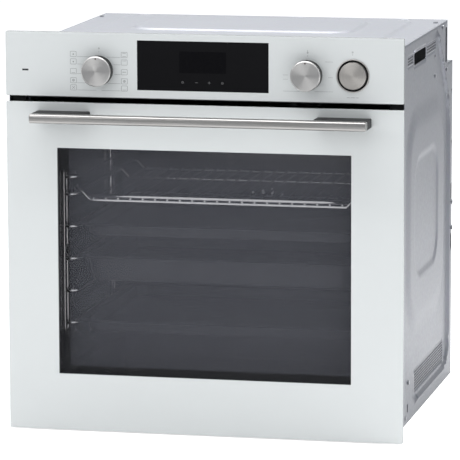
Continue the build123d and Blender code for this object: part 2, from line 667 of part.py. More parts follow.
with BuildPart() as grill_element:
    wire([(-GRILL_X, tail_y, grill_z), (-GRILL_X, cavity_back - 60, grill_z),
          (-GRILL_HALF, cavity_back - 60, grill_z), (-GRILL_HALF, grill_front, grill_z),
          (-GRILL_X, grill_front, grill_z), (-GRILL_X, cavity_back - 120, grill_z),
          (GRILL_X, cavity_back - 120, grill_z), (GRILL_X, grill_front, grill_z),
          (GRILL_HALF, grill_front, grill_z), (GRILL_HALF, cavity_back - 60, grill_z),
          (GRILL_X, cavity_back - 60, grill_z), (GRILL_X, tail_y, grill_z)], 20, ELEMENT_R)
save(grill_element.part, "grill_element")

# Bottom element: one wide loop pressed to the underside of the cavity floor.
with BuildPart() as bottom_element:
    wire([(-UNDER_X, tail_y, under_z), (-UNDER_X, cavity_back - 40, under_z),
          (-GRILL_HALF, cavity_back - 40, under_z), (-GRILL_HALF, grill_front, under_z),
          (GRILL_HALF, grill_front, under_z), (GRILL_HALF, cavity_back - 40, under_z),
          (UNDER_X, cavity_back - 40, under_z), (UNDER_X, tail_y, under_z)], 20, ELEMENT_R)
save(bottom_element.part, "bottom_element")

# Oven lamp: ceramic holder behind the wall, capsule bulb, domed glass lens inside.
LENS_WALL = 2.0
LENS_DEPTH = 13.0
BULB_R = 6.0

with BuildPart() as lamp_holder:
    round_y(LAMP_X, (cavity_back, wool_back + 6), lamp_z, SOCKET_R)
    round_y(LAMP_X, (cavity_back, cavity_back + 16), lamp_z, SOCKET_R - 4, Mode.SUBTRACT)
save(lamp_holder.part, "lamp_holder")

with BuildPart() as lamp_bulb:
    round_y(LAMP_X, (cavity_back - 4, cavity_back + 16), lamp_z, BULB_R)
    with Locations((LAMP_X, cavity_back - 4, lamp_z)):
        Sphere(BULB_R)
save(lamp_bulb.part, "lamp_bulb")

with BuildPart() as lamp_lens:
    round_y(LAMP_X, (cavity_back - LENS_DEPTH, cavity_back), lamp_z, LAMP_R)
    fillet(lamp_lens.faces().sort_by(Axis.Y)[0].edges(), LENS_DEPTH * 0.7)
    round_y(LAMP_X, (cavity_back - LENS_DEPTH + LENS_WALL, cavity_back), lamp_z, LAMP_R - 9, Mode.SUBTRACT)
save(lamp_lens.part, "lamp_lens")

# Temperature probe: thin steel tube from the back wall.
with BuildPart() as temperature_probe:
    round_y(PROBE_X, (cavity_back - 70, wool_back + 10), probe_z, PROBE_R)
save(temperature_probe.part, "temperature_probe")

# Convection fan: motor on a bridge behind the insulation, shaft and impeller turn together.
MOTOR_LENGTH = 30.0
motor_front = wool_back + FIT
motor_back = motor_front + MOTOR_LENGTH
rear_inner = lower_back - SHEET

with BuildPart() as fan_motor:
    round_y(0, (motor_front, motor_back), fan_z, FAN_MOTOR_R)
    block((-60, 60), (motor_front, motor_front + 2), (fan_z - 14, fan_z + 14))
    round_y(0, (motor_back, rear_inner), fan_z, 10)
    round_y(0, (motor_front, motor_back - 4), fan_z, FAN_SHAFT_R + RUNNING, Mode.SUBTRACT)
save(fan_motor.part, "fan_motor")

HUB_R = 12.0
fan_front = cavity_back - 4 - FAN_BLADE
with BuildPart() as fan_impeller:
    round_y(0, (fan_front, fan_front + 1.5), fan_z, FAN_R)
    round_y(0, (fan_front, fan_front + FAN_BLADE), fan_z, HUB_R)
    round_y(0, (fan_front, motor_back - 6), fan_z, FAN_SHAFT_R)
    with BuildSketch(front_plane(fan_front + FAN_BLADE)):
        with Locations((0, fan_z)):
            with PolarLocations(FAN_R * 0.66, 16):
                Rectangle(FAN_R * 0.5, 1.5, rotation=38)
    extrude(amount=FAN_BLADE)
save(fan_impeller.part, "fan_impeller")

# ---------------------------------------------------------------- cooling and electrics
# Cooling duct: folded channel over the insulation, open at the front between door and panel.
duct_front = MOUTH_SETBACK + SHEET + FIT
blower_back = blower_y + BLOWER_R + 14
duct_end = blower_back + 6
duct_half = inside_half - FIT

with BuildPart() as cooling_duct:
    block((-duct_half, duct_half), (duct_front, duct_end), (duct_floor, duct_top))
    block((-duct_half + SHEET, duct_half - SHEET), (duct_front, duct_end - SHEET),
          (duct_floor + SHEET, duct_top - SHEET), Mode.SUBTRACT)
    round_z(BLOWER_X, blower_y, (duct_top - SHEET, duct_top), BLOWER_R - 14, Mode.SUBTRACT)
save(cooling_duct.part, "cooling_duct")

# Cooling blower: round housing on the duct, motor on top, impeller hung from the motor's shaft.
blower_low = duct_top
blower_high = blower_low + BLOWER_HEIGHT
BLOWER_WALL = 1.5
MOTOR_HEIGHT = 22.0

with BuildPart() as blower_housing:
    round_z(BLOWER_X, blower_y, (blower_low, blower_high), BLOWER_R + 8)
    round_z(BLOWER_X, blower_y, (blower_low + BLOWER_WALL, blower_high - BLOWER_WALL),
            BLOWER_R + 8 - BLOWER_WALL, Mode.SUBTRACT)
    round_z(BLOWER_X, blower_y, (blower_low, blower_low + BLOWER_WALL), BLOWER_R - 14, Mode.SUBTRACT)
    round_z(BLOWER_X, blower_y, (blower_high - BLOWER_WALL, blower_high), SPINDLE_R + 2, Mode.SUBTRACT)
    for number in range(10):
        turn = radians(36 * number)
        slot_x = BLOWER_X + (BLOWER_R + 8) * cos(turn)
        slot_y = blower_y + (BLOWER_R + 8) * sin(turn)
        round_z(slot_x, slot_y, (blower_low + 8, blower_high - 8), 6, Mode.SUBTRACT)
save(blower_housing.part, "blower_housing")

with BuildPart() as blower_motor:
    round_z(BLOWER_X, blower_y, (blower_high, blower_high + MOTOR_HEIGHT), 28)
    round_z(BLOWER_X, blower_y, (blower_high, blower_high + MOTOR_HEIGHT - 4), SPINDLE_R + RUNNING,
            Mode.SUBTRACT)
save(blower_motor.part, "blower_motor")

with BuildPart() as blower_impeller:
    disc_z = blower_high - BLOWER_WALL - 4
    round_z(BLOWER_X, blower_y, (disc_z, disc_z + 1.5), BLOWER_R)
    round_z(BLOWER_X, blower_y, (disc_z - 10, disc_z + 1.5), 9)
    round_z(BLOWER_X, blower_y, (disc_z - 10, blower_high + MOTOR_HEIGHT - 6), SPINDLE_R)
    with BuildSketch(Plane.XY.offset(blower_low + BLOWER_WALL + 3)):
        with Locations((BLOWER_X, blower_y)):
            with PolarLocations(BLOWER_R - 6, 24):
                Rectangle(9, 1.2, rotation=25)
    extrude(amount=disc_z - blower_low - BLOWER_WALL - 3)
save(blower_impeller.part, "blower_impeller")

# Power board: circuit board on four posts on the duct, with its larger components.
BOARD = (150.0, 110.0)
BOARD_X = -120.0
BOARD_Y = 170.0
board_z = duct_top + 6

with BuildPart() as power_board:
    block((BOARD_X - BOARD[0] / 2, BOARD_X + BOARD[0] / 2), (BOARD_Y - BOARD[1] / 2, BOARD_Y + BOARD[1] / 2),
          (board_z, board_z + 1.6))
    for side in SIDES:
        for end in SIDES:
            round_z(BOARD_X + side * (BOARD[0] / 2 - 6), BOARD_Y + end * (BOARD[1] / 2 - 6),
                    (duct_top, board_z), 3)
    block((BOARD_X - 60, BOARD_X - 25), (BOARD_Y - 40, BOARD_Y - 5), (board_z + 1.6, board_z + 28))
    for number in range(4):
        relay_x = BOARD_X - 10 + 20 * number
        block((relay_x, relay_x + 15), (BOARD_Y - 42, BOARD_Y - 14), (board_z + 1.6, board_z + 17))
    for number in range(3):
        round_z(BOARD_X - 50 + 22 * number, BOARD_Y + 20, (board_z + 1.6, board_z + 22), 8)
save(power_board.part, "power_board")

# Safety thermostat: ceramic puck clipped to the duct.
with BuildPart() as safety_thermostat:
    round_z(-20, blower_y, (duct_top, duct_top + 9), 8)
    block((-34, -6), (blower_y - 6, blower_y + 6), (duct_top, duct_top + 1))
    for side in SIDES:
        block((-20 + side * 4, -20 + side * 5), (blower_y - 3, blower_y + 3),
              (duct_top + 9, duct_top + 17))
save(safety_thermostat.part, "safety_thermostat")

# Terminal block: behind the upper rear panel, with the mains lead's round inlet at its left end.
TERMINAL_SIZE = (64.0, 26.0, 42.0)
INLET_DEPTH = 16.0
terminal_left = TERMINAL_X - TERMINAL_SIZE[0] / 2
with BuildPart() as terminal_block:
    block((terminal_left, terminal_left + TERMINAL_SIZE[0]),
          (BODY_DEPTH, BODY_DEPTH + TERMINAL_SIZE[1]),
          (terminal_z - TERMINAL_SIZE[2] / 2, terminal_z + TERMINAL_SIZE[2] / 2))
    fillet(terminal_block.faces().sort_by(Axis.Y)[-1].edges(), 3)
    block((TERMINAL_X - 19, TERMINAL_X + 19), (BODY_DEPTH - 10, BODY_DEPTH),
          (terminal_z - 8, terminal_z + 8))
    round_x((terminal_left, terminal_left + INLET_DEPTH), BODY_DEPTH + TERMINAL_SIZE[1] / 2, terminal_z,
            INLET_R, Mode.SUBTRACT)
save(terminal_block.part, "terminal_block")

# ---------------------------------------------------------------- control panel
glass_hole = SPINDLE_R + 1.5
display_gap = 0.15
POST_R = 5.0
upper_post_z = lid_under - FRAME_BAR / 2
chassis_posts = [(side * (front_half - 13), z) for side in SIDES for z in (panel_bottom + 18, upper_post_z)]
chassis_posts += [(side * 110, upper_post_z) for side in SIDES]

# Control glass: white enamelled pane with cut-outs for the display, spindles and timer.
with BuildPart() as control_glass:
    with BuildSketch(front_plane(panel_back)):
        with Locations((0, (front_top + panel_bottom) / 2)):
            RectangleRounded(FRONT_WIDTH, CONTROL_HEIGHT, 1.5)
        with Locations((0, display_z)):
            Rectangle(2 * (DISPLAY_HALF + display_gap), DISPLAY_HEIGHT + 2 * display_gap,
                      mode=Mode.SUBTRACT)
        with Locations((-KNOB_X, knob_z), (KNOB_X, knob_z)):
            Circle(glass_hole, mode=Mode.SUBTRACT)
        with Locations((timer_x, knob_z)):
            Circle(well_r + 0.2, mode=Mode.SUBTRACT)
        with Locations((indicator_x, knob_z - 1.2)):
            Rectangle(INDICATOR_SIZE[0] + 0.2, INDICATOR_SIZE[1] + 0.2, mode=Mode.SUBTRACT)
    extrude(amount=PANEL_GLASS)
    chamfer(control_glass.faces().sort_by(Axis.Y)[0].outer_wire().edges(), 0.5)
save(control_glass.part, "control_glass")

# Display glass: black touch cover, flush in its cut-out.
with BuildPart() as display_glass:
    block((-DISPLAY_HALF, DISPLAY_HALF), (glass_face, panel_back),
          (display_z - DISPLAY_HEIGHT / 2, display_z + DISPLAY_HEIGHT / 2))
save(display_glass.part, "display_glass")

# Control chassis: shallow painted tray behind the glass, on posts against the front frame.
SCREEN = (116.0, 36.0)
PANEL_INSET = 0.5          # chassis inside the top edge of the glass
CHASSIS_LIP_GAP = 1.0      # folded rear lip above the body's top
chassis_half = front_half - RAIL_INSET
board_front = panel_back + CHASSIS_WALL + 1.5

with BuildPart() as control_chassis:
    block((-chassis_half, chassis_half), (panel_back, chassis_back),
          (panel_bottom + 1, front_top - PANEL_INSET))
    block((-chassis_half + CHASSIS_WALL, chassis_half - CHASSIS_WALL),
          (panel_back + CHASSIS_WALL, chassis_back),
          (panel_bottom + 1 + CHASSIS_WALL, front_top - PANEL_INSET - CHASSIS_WALL), Mode.SUBTRACT)
    block((-chassis_half, chassis_half), (chassis_back - CHASSIS_WALL, chassis_back),
          (body_top + CHASSIS_LIP_GAP, front_top - PANEL_INSET))
    for x, z in chassis_posts:
        round_y(x, (panel_back + CHASSIS_WALL, frame_face), z, POST_R)
    for x in (-70, 70):
        for z in (display_z - 17, display_z + 17):
            round_y(x, (panel_back + CHASSIS_WALL, board_front), z, 2.5)
    wall = (panel_back, panel_back + CHASSIS_WALL)
    block((-SCREEN[0] / 2 - 1, SCREEN[0] / 2 + 1), wall,
          (display_z - SCREEN[1] / 2 - 1, display_z + SCREEN[1] / 2 + 1), Mode.SUBTRACT)
    for x in (-KNOB_X, KNOB_X):
        round_y(x, wall, knob_z, glass_hole, Mode.SUBTRACT)
    round_y(timer_x, wall, knob_z, well_r + 0.2, Mode.SUBTRACT)
save(control_chassis.part, "control_chassis")

# Display board: circuit board with the screen module in the chassis window.
with BuildPart() as display_board:
    block((-80, 80), (board_front, board_front + 1.6), (display_z - 24, display_z + 24))
    block((-SCREEN[0] / 2, SCREEN[0] / 2), (panel_back, board_front),
          (display_z - SCREEN[1] / 2, display_z + SCREEN[1] / 2))
    for number in range(4):
        key_x = -30 + 20 * number
        block((key_x - 4, key_x + 4), (board_front - 1.4, board_front),
              (display_z - 23.5, display_z - 19.5))
save(display_board.part, "display_board")

# Indicator lens: small light pipe through the glass.
with BuildPart() as indicator_lens:
    block((indicator_x - INDICATOR_SIZE[0] / 2, indicator_x + INDICATOR_SIZE[0] / 2),
          (glass_face, panel_back),
          (knob_z - 1.2 - INDICATOR_SIZE[1] / 2, knob_z - 1.2 + INDICATOR_SIZE[1] / 2))
save(indicator_lens.part, "indicator_lens")

# Timer bezel: black cup that the retracted timer knob sinks into.
timer_face = glass_face - TIMER_PROUD
timer_back = timer_face + TIMER_LENGTH
WELL_FLOOR = 1.5
SLEEVE_R = 5.0
well_back = timer_back + 1 + WELL_FLOOR

with BuildPart() as timer_bezel:
    round_y(timer_x, (glass_face - 0.6, well_back), knob_z, well_r)
    fillet(timer_bezel.faces().sort_by(Axis.Y)[0].edges(), 0.4)
    round_y(timer_x, (glass_face - 1, well_back - WELL_FLOOR), knob_z, TIMER_R + WELL_GAP, Mode.SUBTRACT)
    round_y(timer_x, (well_back - WELL_FLOOR, well_back), knob_z, SLEEVE_R + 1, Mode.SUBTRACT)
save(timer_bezel.part, "timer_bezel")

# Selector switches behind the two knobs, and the timer switch behind its cup.
SWITCH = 28.0
SWITCH_LENGTH = 22.0
TIMER_SWITCH_LENGTH = 32.0
switch_front = panel_back + CHASSIS_WALL

with BuildPart() as selector_switches:
    for x in (-KNOB_X, KNOB_X):
        block((x - SWITCH / 2, x + SWITCH / 2), (switch_front, switch_front + SWITCH_LENGTH),
              (knob_z - SWITCH / 2, knob_z + SWITCH / 2))
        round_y(x, (switch_front, switch_front + SWITCH_LENGTH - 3), knob_z, SPINDLE_R + RUNNING,
                Mode.SUBTRACT)
    block((timer_x - SWITCH / 2, timer_x + SWITCH / 2), (well_back, well_back + TIMER_SWITCH_LENGTH),
          (knob_z - SWITCH / 2, knob_z + SWITCH / 2))
    round_y(timer_x, (well_back, well_back + TIMER_SWITCH_LENGTH - 2), knob_z, SLEEVE_R + RUNNING,
            Mode.SUBTRACT)
save(selector_switches.part, "selector_switches")


def knob(x):
    """Turned aluminium knob with its spindle; a shallow dot marks the pointer."""
    skirt = glass_face - KNOB_GAP
    face = glass_face - KNOB_DEPTH
    with BuildPart() as turned:
        round_y(x, (face, skirt), knob_z, KNOB_R)
        chamfer(turned.faces().sort_by(Axis.Y)[0].edges(), 1.4)
        round_y(x, (skirt - 2.5, skirt), knob_z, KNOB_R - 1.2 + KNOB_R, Mode.SUBTRACT)
        round_y(x, (skirt - 2.5, skirt), knob_z, KNOB_R - 1.2)
        round_y(x, (face, face + 0.6), knob_z + KNOB_R - 3.6, 1.1, Mode.SUBTRACT)
        round_y(x, (skirt, switch_front + SWITCH_LENGTH - 5), knob_z, SPINDLE_R)
    return turned.part


save(knob(-KNOB_X), "function_knob")
save(knob(KNOB_X), "temperature_knob")

# Timer knob: retracting cap with its spindle; the sleeve carries it in and out.
sleeve_front = timer_back + FIT
sleeve_back = well_back + TIMER_SWITCH_LENGTH - 4

with BuildPart() as timer_knob:
    round_y(timer_x, (timer_face, timer_back), knob_z, TIMER_R)
    chamfer(timer_knob.faces().sort_by(Axis.Y)[0].edges(), 1.0)
    round_y(timer_x, (timer_back, sleeve_back - 2), knob_z, SPINDLE_R)
save(timer_knob.part, "timer_knob")

with BuildPart() as timer_sleeve:
    round_y(timer_x, (sleeve_front, sleeve_back), knob_z, SLEEVE_R)
    round_y(timer_x, (sleeve_front, sleeve_back - 1.5), knob_z, SPINDLE_R + RUNNING, Mode.SUBTRACT)
save(timer_sleeve.part, "timer_sleeve")

# ---------------------------------------------------------------- door
trim_top = door_top - 2.3
top_trim_low = trim_top - TOP_TRIM
glass_foot = DOOR_FOOT + TRIM_HEIGHT
column_in = body_half - COLUMN_IN
column_out = body_half - COLUMN_OUT
TRIM_WALL = 2.0
screw_spots = [(side * bracket_x + shift, handle_z) for side in SIDES for shift in (-25, 25)]

# Outer glass: one white enamelled pane with a clear window.
with BuildPart() as door_outer_glass:
    with BuildSketch(front_plane(door_glass_back)):
        with Locations((0, (FRONT_BOTTOM + door_top) / 2)):
            RectangleRounded(FRONT_WIDTH, door_top - FRONT_BOTTOM, 1.5)
        with Locations(*screw_spots):
            Circle(3.5, mode=Mode.SUBTRACT)
    extrude(amount=DOOR_GLASS)
    chamfer(door_outer_glass.faces().sort_by(Axis.Y)[0].outer_wire().edges(), 0.5)
save(door_outer_glass.part, "door_outer_glass")

# Middle and inner panes.
with BuildPart() as door_middle_glass:
    block((-column_in + FIT, column_in - FIT), (-6, -6 + MIDDLE_GLASS), (glass_foot, top_trim_low))
save(door_middle_glass.part, "door_middle_glass")

with BuildPart() as door_inner_glass:
    block((-column_out + 2, column_out - 2), (inner_glass_front, door_inner_face),
          (glass_foot, top_trim_low))
    fillet(door_inner_glass.faces().sort_by(Axis.Y)[-1].edges(), 1)
save(door_inner_glass.part, "door_inner_glass")

# Door columns: folded side profiles that hold the panes, with a grey rail along the glass edge.
COLUMN_FOOT = 34.0
RAIL_FOOT = 6.0

with BuildPart() as door_columns:
    for side in SIDES:
        front_wall = (door_glass_back, door_glass_back + COLUMN_SHEET)
        rail_edge = side * (front_half - RAIL_INSET)
        block((side * column_in, rail_edge), front_wall, (RAIL_FOOT, top_trim_low))
        block((side * column_out, rail_edge), front_wall, (RAIL_FOOT, trim_top))
        block((rail_edge - side * COLUMN_SHEET, rail_edge), (door_glass_back, door_glass_back + RAIL_DEPTH),
              (RAIL_FOOT, trim_top))
        for x in (column_in, column_out - COLUMN_SHEET):
            block((side * x, side * (x + COLUMN_SHEET)), (door_glass_back, inner_glass_front),
                  (COLUMN_FOOT, top_trim_low))
save(door_columns.part, "door_columns")

# Door trims: hollow upper trim with air slots, lower trim under the panes.
with BuildPart() as door_trims:
    block((-column_out, column_out), (door_glass_back, door_inner_face), (top_trim_low, trim_top))
    block((-column_out + TRIM_WALL, column_out - TRIM_WALL),
          (door_glass_back + TRIM_WALL, door_inner_face - TRIM_WALL),
          (top_trim_low + TRIM_WALL, trim_top - TRIM_WALL), Mode.SUBTRACT)
    with BuildSketch(Plane.XY.offset(top_trim_low)):
        with GridLocations(24, 1, 20, 1):
            SlotOverall(18, 6)
    extrude(amount=TOP_TRIM, mode=Mode.SUBTRACT)
    for x, z in screw_spots:
        round_y(x, (door_glass_back, door_glass_back + TRIM_WALL), z, 2.6, Mode.SUBTRACT)
    block((-column_in + FIT, column_in - FIT), (door_glass_back, door_inner_face),
          (DOOR_FOOT, glass_foot))
    block((-column_in + FIT + TRIM_WALL, column_in - FIT - TRIM_WALL),
          (door_glass_back + TRIM_WALL, door_inner_face - TRIM_WALL),
          (DOOR_FOOT, glass_foot - TRIM_WALL), Mode.SUBTRACT)
save(door_trims.part, "door_trims")

# Handle: brushed bar on two end brackets.
with BuildPart() as handle_bar:
    block((-HANDLE_LENGTH / 2, HANDLE_LENGTH / 2), (handle_front, handle_back),
          (handle_z - HANDLE_HEIGHT / 2, handle_z + HANDLE_HEIGHT / 2))
    fillet(handle_bar.faces().sort_by(Axis.Y)[0].edges().filter_by(Axis.X), 5)
    fillet(handle_bar.faces().sort_by(Axis.Y)[-1].edges().filter_by(Axis.X), 2)
save(handle_bar.part, "handle_bar")

with BuildPart() as handle_brackets:
    for side in SIDES:
        block((side * bracket_x - BRACKET_LENGTH / 2, side * bracket_x + BRACKET_LENGTH / 2),
              (handle_back, glass_face), (handle_z - HANDLE_HEIGHT / 2, handle_z + HANDLE_HEIGHT / 2))
    fillet(handle_brackets.edges().filter_by(Axis.Y), 1.2)
    for x, z in screw_spots:
        round_y(x, (handle_back + 8, glass_face), z, 2.5, Mode.SUBTRACT)
save(handle_brackets.part, "handle_brackets")

with BuildPart() as door_screws:
    for x, z in screw_spots:
        head = door_glass_back + TRIM_WALL
        round_y(x, (head, head + 3), z, 5)
        round_y(x, (handle_back + 9, head), z, 2.5)
save(door_screws.part, "door_screws")

# ---------------------------------------------------------------- door hinges
ARM_EYE_R = 8.0
ARM_BACK = 72.0
ARM_LOW = 28.0
ARM_HIGH = 44.0
RECEIVER_WALL = 1.5
CHANNEL_FOOT = 9.0
CHANNEL_TOP = 226.0
BRIDGE_Z = 110.0
ROD_R = 2.5
ROD_Y = -3.0
ROD_FOOT = 62.0
ROD_HEAD = 198.0
SPRING_WIRE_R = 0.9
SPRING_R = 3.75
SPRING_PITCH = 5.2
channel_front = door_glass_back + COLUMN_SHEET

# Hinge arms: flat hooks that stay in the housing.
with BuildPart() as hinge_arms:
    for side in SIDES:
        with BuildSketch(side_plane(side * arm_x - ARM_THICKNESS / 2)):
            with Locations((PIVOT_Y, PIVOT_Z)):
                Circle(ARM_EYE_R)
            with BuildLine():
                Polyline((PIVOT_Y - 4, PIVOT_Z - 6.9), (PIVOT_Y + 5, PIVOT_Z - 6.2),
                         (BASE_FRONT, ARM_LOW), (ARM_BACK, ARM_LOW),
                         (ARM_BACK, ARM_LOW + 5), (ARM_BACK - 8, ARM_HIGH), (BASE_FRONT, ARM_HIGH),
                         (PIVOT_Y - 4, PIVOT_Z + 6.9), close=True)
            make_face()
            with Locations((PIVOT_Y, PIVOT_Z)):
                Circle(PIN_R + RUNNING, mode=Mode.SUBTRACT)
        extrude(amount=ARM_THICKNESS)
save(hinge_arms.part, "hinge_arms")

# Hinge receivers: steel pockets behind the mouth plate, the arms hook into them.
receiver_half = ARM_SLOT[0] / 2
with BuildPart() as hinge_receivers:
    for side in SIDES:
        x = side * arm_x
        outer = receiver_half + RECEIVER_WALL
        pocket = (MOUTH_SETBACK + SHEET, ARM_BACK + 6)
        block((x - outer, x + outer), pocket, (ARM_LOW - RECEIVER_WALL, ARM_HIGH + 1 + RECEIVER_WALL))
        block((x - receiver_half, x + receiver_half), (pocket[0], pocket[1] - RECEIVER_WALL),
              (ARM_LOW, ARM_HIGH + 1), Mode.SUBTRACT)
save(hinge_receivers.part, "hinge_receivers")

# Hinge channels: U-shaped steel channels inside the columns, with a bridge for the spring.
with BuildPart() as hinge_channels:
    for side in SIDES:
        x = side * arm_x
        inner = CHANNEL_HALF - CHANNEL_SHEET
        block((x - CHANNEL_HALF, x + CHANNEL_HALF), (channel_front, channel_front + 32),
              (CHANNEL_FOOT, CHANNEL_TOP))
        block((x - inner, x + inner), (channel_front + CHANNEL_SHEET, channel_front + 32),
              (CHANNEL_FOOT, CHANNEL_TOP), Mode.SUBTRACT)
        block((x - inner, x + inner), (channel_front + CHANNEL_SHEET, ROD_Y + 6), (BRIDGE_Z, BRIDGE_Z + 2))
        round_z(x, ROD_Y, (BRIDGE_Z, BRIDGE_Z + 2), ROD_R + RUNNING, Mode.SUBTRACT)
        round_x((x - CHANNEL_HALF, x + CHANNEL_HALF), PIVOT_Y, PIVOT_Z, PIN_R, Mode.SUBTRACT)
save(hinge_channels.part, "hinge_channels")

with BuildPart() as hinge_pins:
    for side in SIDES:
        x = side * arm_x
        round_x((x - CHANNEL_HALF, x + CHANNEL_HALF), PIVOT_Y, PIVOT_Z, PIN_R)
save(hinge_pins.part, "hinge_pins")

# Hinge rods: pulled down by the arms as the door opens, with a washer that presses the spring.
with BuildPart() as hinge_rods:
    for side in SIDES:
        x = side * arm_x
        round_z(x, ROD_Y, (ROD_FOOT, ROD_HEAD + 6), ROD_R)
        round_z(x, ROD_Y, (ROD_HEAD, ROD_HEAD + 2.5), CHANNEL_HALF - CHANNEL_SHEET - FIT)
        block((x - 4, x + 4), (ROD_Y - 4, ROD_Y + 4), (ROD_FOOT, ROD_FOOT + 8))
save(hinge_rods.part, "hinge_rods")

# Hinge springs: compression springs between the bridge and the washer.
spring_low = BRIDGE_Z + 2 + SPRING_WIRE_R
spring_length = ROD_HEAD - SPRING_WIRE_R - spring_low

with BuildPart() as hinge_springs:
    for side in SIDES:
        coil = Helix(SPRING_PITCH, spring_length, SPRING_R, center=(side * arm_x, ROD_Y, spring_low),
                     mode=Mode.PRIVATE)
        with BuildSketch(Plane(origin=coil @ 0, z_dir=coil % 0), mode=Mode.PRIVATE) as spring_wire:
            Circle(SPRING_WIRE_R)
        sweep(spring_wire.sketch, path=coil, is_frenet=True)
save(hinge_springs.part, "hinge_springs")
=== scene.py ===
"""Looks of a built-in wall oven, built around its packed mechanical model.

Metres, in the frame of the model: X to the right, Y to the back, Z up, base plane at zero.
"""

from math import cos, pi, radians, sin, tau

import bmesh
import bpy
import numpy as np
from mathutils import Matrix, Vector


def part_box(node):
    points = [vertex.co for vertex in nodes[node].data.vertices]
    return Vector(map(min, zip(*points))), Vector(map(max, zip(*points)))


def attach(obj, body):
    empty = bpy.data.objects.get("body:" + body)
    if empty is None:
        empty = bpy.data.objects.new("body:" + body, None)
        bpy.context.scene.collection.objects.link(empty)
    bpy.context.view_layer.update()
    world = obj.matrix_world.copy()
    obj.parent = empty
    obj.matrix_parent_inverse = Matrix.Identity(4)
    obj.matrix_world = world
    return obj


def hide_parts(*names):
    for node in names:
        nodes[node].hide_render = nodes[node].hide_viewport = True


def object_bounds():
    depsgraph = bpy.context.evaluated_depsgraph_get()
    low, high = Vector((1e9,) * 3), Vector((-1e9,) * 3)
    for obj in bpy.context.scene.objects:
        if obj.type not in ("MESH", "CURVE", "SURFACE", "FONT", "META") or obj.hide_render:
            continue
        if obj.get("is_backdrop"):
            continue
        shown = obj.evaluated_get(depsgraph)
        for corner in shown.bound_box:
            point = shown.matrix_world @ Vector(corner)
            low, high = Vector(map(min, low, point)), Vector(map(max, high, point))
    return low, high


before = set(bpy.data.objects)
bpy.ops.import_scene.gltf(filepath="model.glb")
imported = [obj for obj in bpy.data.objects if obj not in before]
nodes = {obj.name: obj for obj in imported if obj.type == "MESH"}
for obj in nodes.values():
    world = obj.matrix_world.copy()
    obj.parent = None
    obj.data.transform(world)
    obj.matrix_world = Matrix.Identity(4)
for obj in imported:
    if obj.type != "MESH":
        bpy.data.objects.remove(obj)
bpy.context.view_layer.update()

# ------------------------ studio
# Camera: a long lens at standing height, to the right of the oven, so that the front, the right
# side and a strip of the top show. It is turned left, tipped down and rolled a little.
CAMERA_PLACE = Vector((1.2372, -5.3712, 1.1767))
CAMERA_YAW = radians(12.619)
CAMERA_PITCH = radians(8.982)
CAMERA_ROLL = radians(-0.184)
CAMERA_LENS = 296.81
CAMERA_REACH = 100
SENSOR = 36.0

forward = Vector((-sin(CAMERA_YAW) * cos(CAMERA_PITCH), cos(CAMERA_YAW) * cos(CAMERA_PITCH),
                  -sin(CAMERA_PITCH)))
level_right = Vector((cos(CAMERA_YAW), sin(CAMERA_YAW), 0))
level_up = level_right.cross(forward)
right = level_right * cos(CAMERA_ROLL) + level_up * sin(CAMERA_ROLL)
up = right.cross(forward)
camera_data = bpy.data.cameras.new("camera")
camera_data.lens = CAMERA_LENS
camera_data.sensor_width = SENSOR
camera_data.clip_end = CAMERA_REACH
camera = bpy.data.objects.new("camera", camera_data)
turn = Matrix((right, up, -forward)).transposed().to_4x4()
camera.matrix_world = Matrix.Translation(CAMERA_PLACE) @ turn
bpy.context.scene.collection.objects.link(camera)
bpy.context.scene.camera = camera
bpy.context.scene.view_settings.view_transform = "Standard"


# Soft boxes: a large one overhead, one in front on the left, and a small one high on the right.
# Each is given its place, target, width, height and power.
def soft_box(name, place, target, width, height, power):
    """A rectangular area lamp at place that faces target."""
    data = bpy.data.lights.new(name, "AREA")
    data.shape = "RECTANGLE"
    data.size = width
    data.size_y = height
    data.energy = power
    lamp = bpy.data.objects.new(name, data)
    aim = Vector(target) - Vector(place)
    lamp.matrix_world = Matrix.Translation(place) @ aim.to_track_quat("-Z", "Y").to_matrix().to_4x4()
    bpy.context.scene.collection.objects.link(lamp)


soft_box("overhead_lamp", (-0.35, 0.3, 2.6), (0.0, 0.2, 0.4), 2.8, 2.8, 82.0)
soft_box("front_lamp", (-2.0, -3.2, 2.0), (0.0, 0.0, 0.3), 1.6, 1.6, 18.0)
soft_box("side_lamp", (1.9, 0.7, 1.9), (0.3, 0.2, 0.6), 0.9, 0.9, 34.0)
# Light that comes in through the window falls on the inner panes, the wires and the trays.
soft_box("pane_light", (0.0, -0.017, 0.257), (0.0, 1.0, 0.257), 0.44, 0.335, 0.34)
soft_box("window_light", (0.0, 0.03, 0.27), (0.0, 0.45, 0.25), 0.4, 0.33, 0.42)


def node(tree, kind, values=(), **settings):
    """A new shader node with its own settings, and with values for some of its inputs."""
    made = tree.nodes.new("ShaderNode" + kind)
    for key, value in settings.items():
        setattr(made, key, value)
    for key, value in dict(values).items():
        made.inputs[key].default_value = value
    return made


# Room light: an even pale dome, brighter where the camera looks past the floor.
DOME_LIGHT, DOME_COLOUR = 0.46, (0.94, 0.97, 1.0, 1)
world = bpy.data.worlds.new("studio")
world.use_nodes = True
bpy.context.scene.world = world
tree = world.node_tree
tree.nodes.clear()
dome = node(tree, "Background", {"Color": DOME_COLOUR, "Strength": DOME_LIGHT})
beyond = node(tree, "Background", {"Color": (1, 1, 1, 1)})
path, choice = node(tree, "LightPath"), node(tree, "MixShader")
tree.links.new(path.outputs["Is Camera Ray"], choice.inputs["Fac"])
tree.links.new(dome.outputs[0], choice.inputs[1])
tree.links.new(beyond.outputs[0], choice.inputs[2])
tree.links.new(choice.outputs[0], node(tree, "OutputWorld").inputs["Surface"])


# Finishes: every surface is one shader whose colour, roughness and relief come from grain in the
# object's own coordinates, at the scale and stretch of that material.
GRAIN_LOW, GRAIN_HIGH = 0.3, 0.7  # the part of the noise that is used


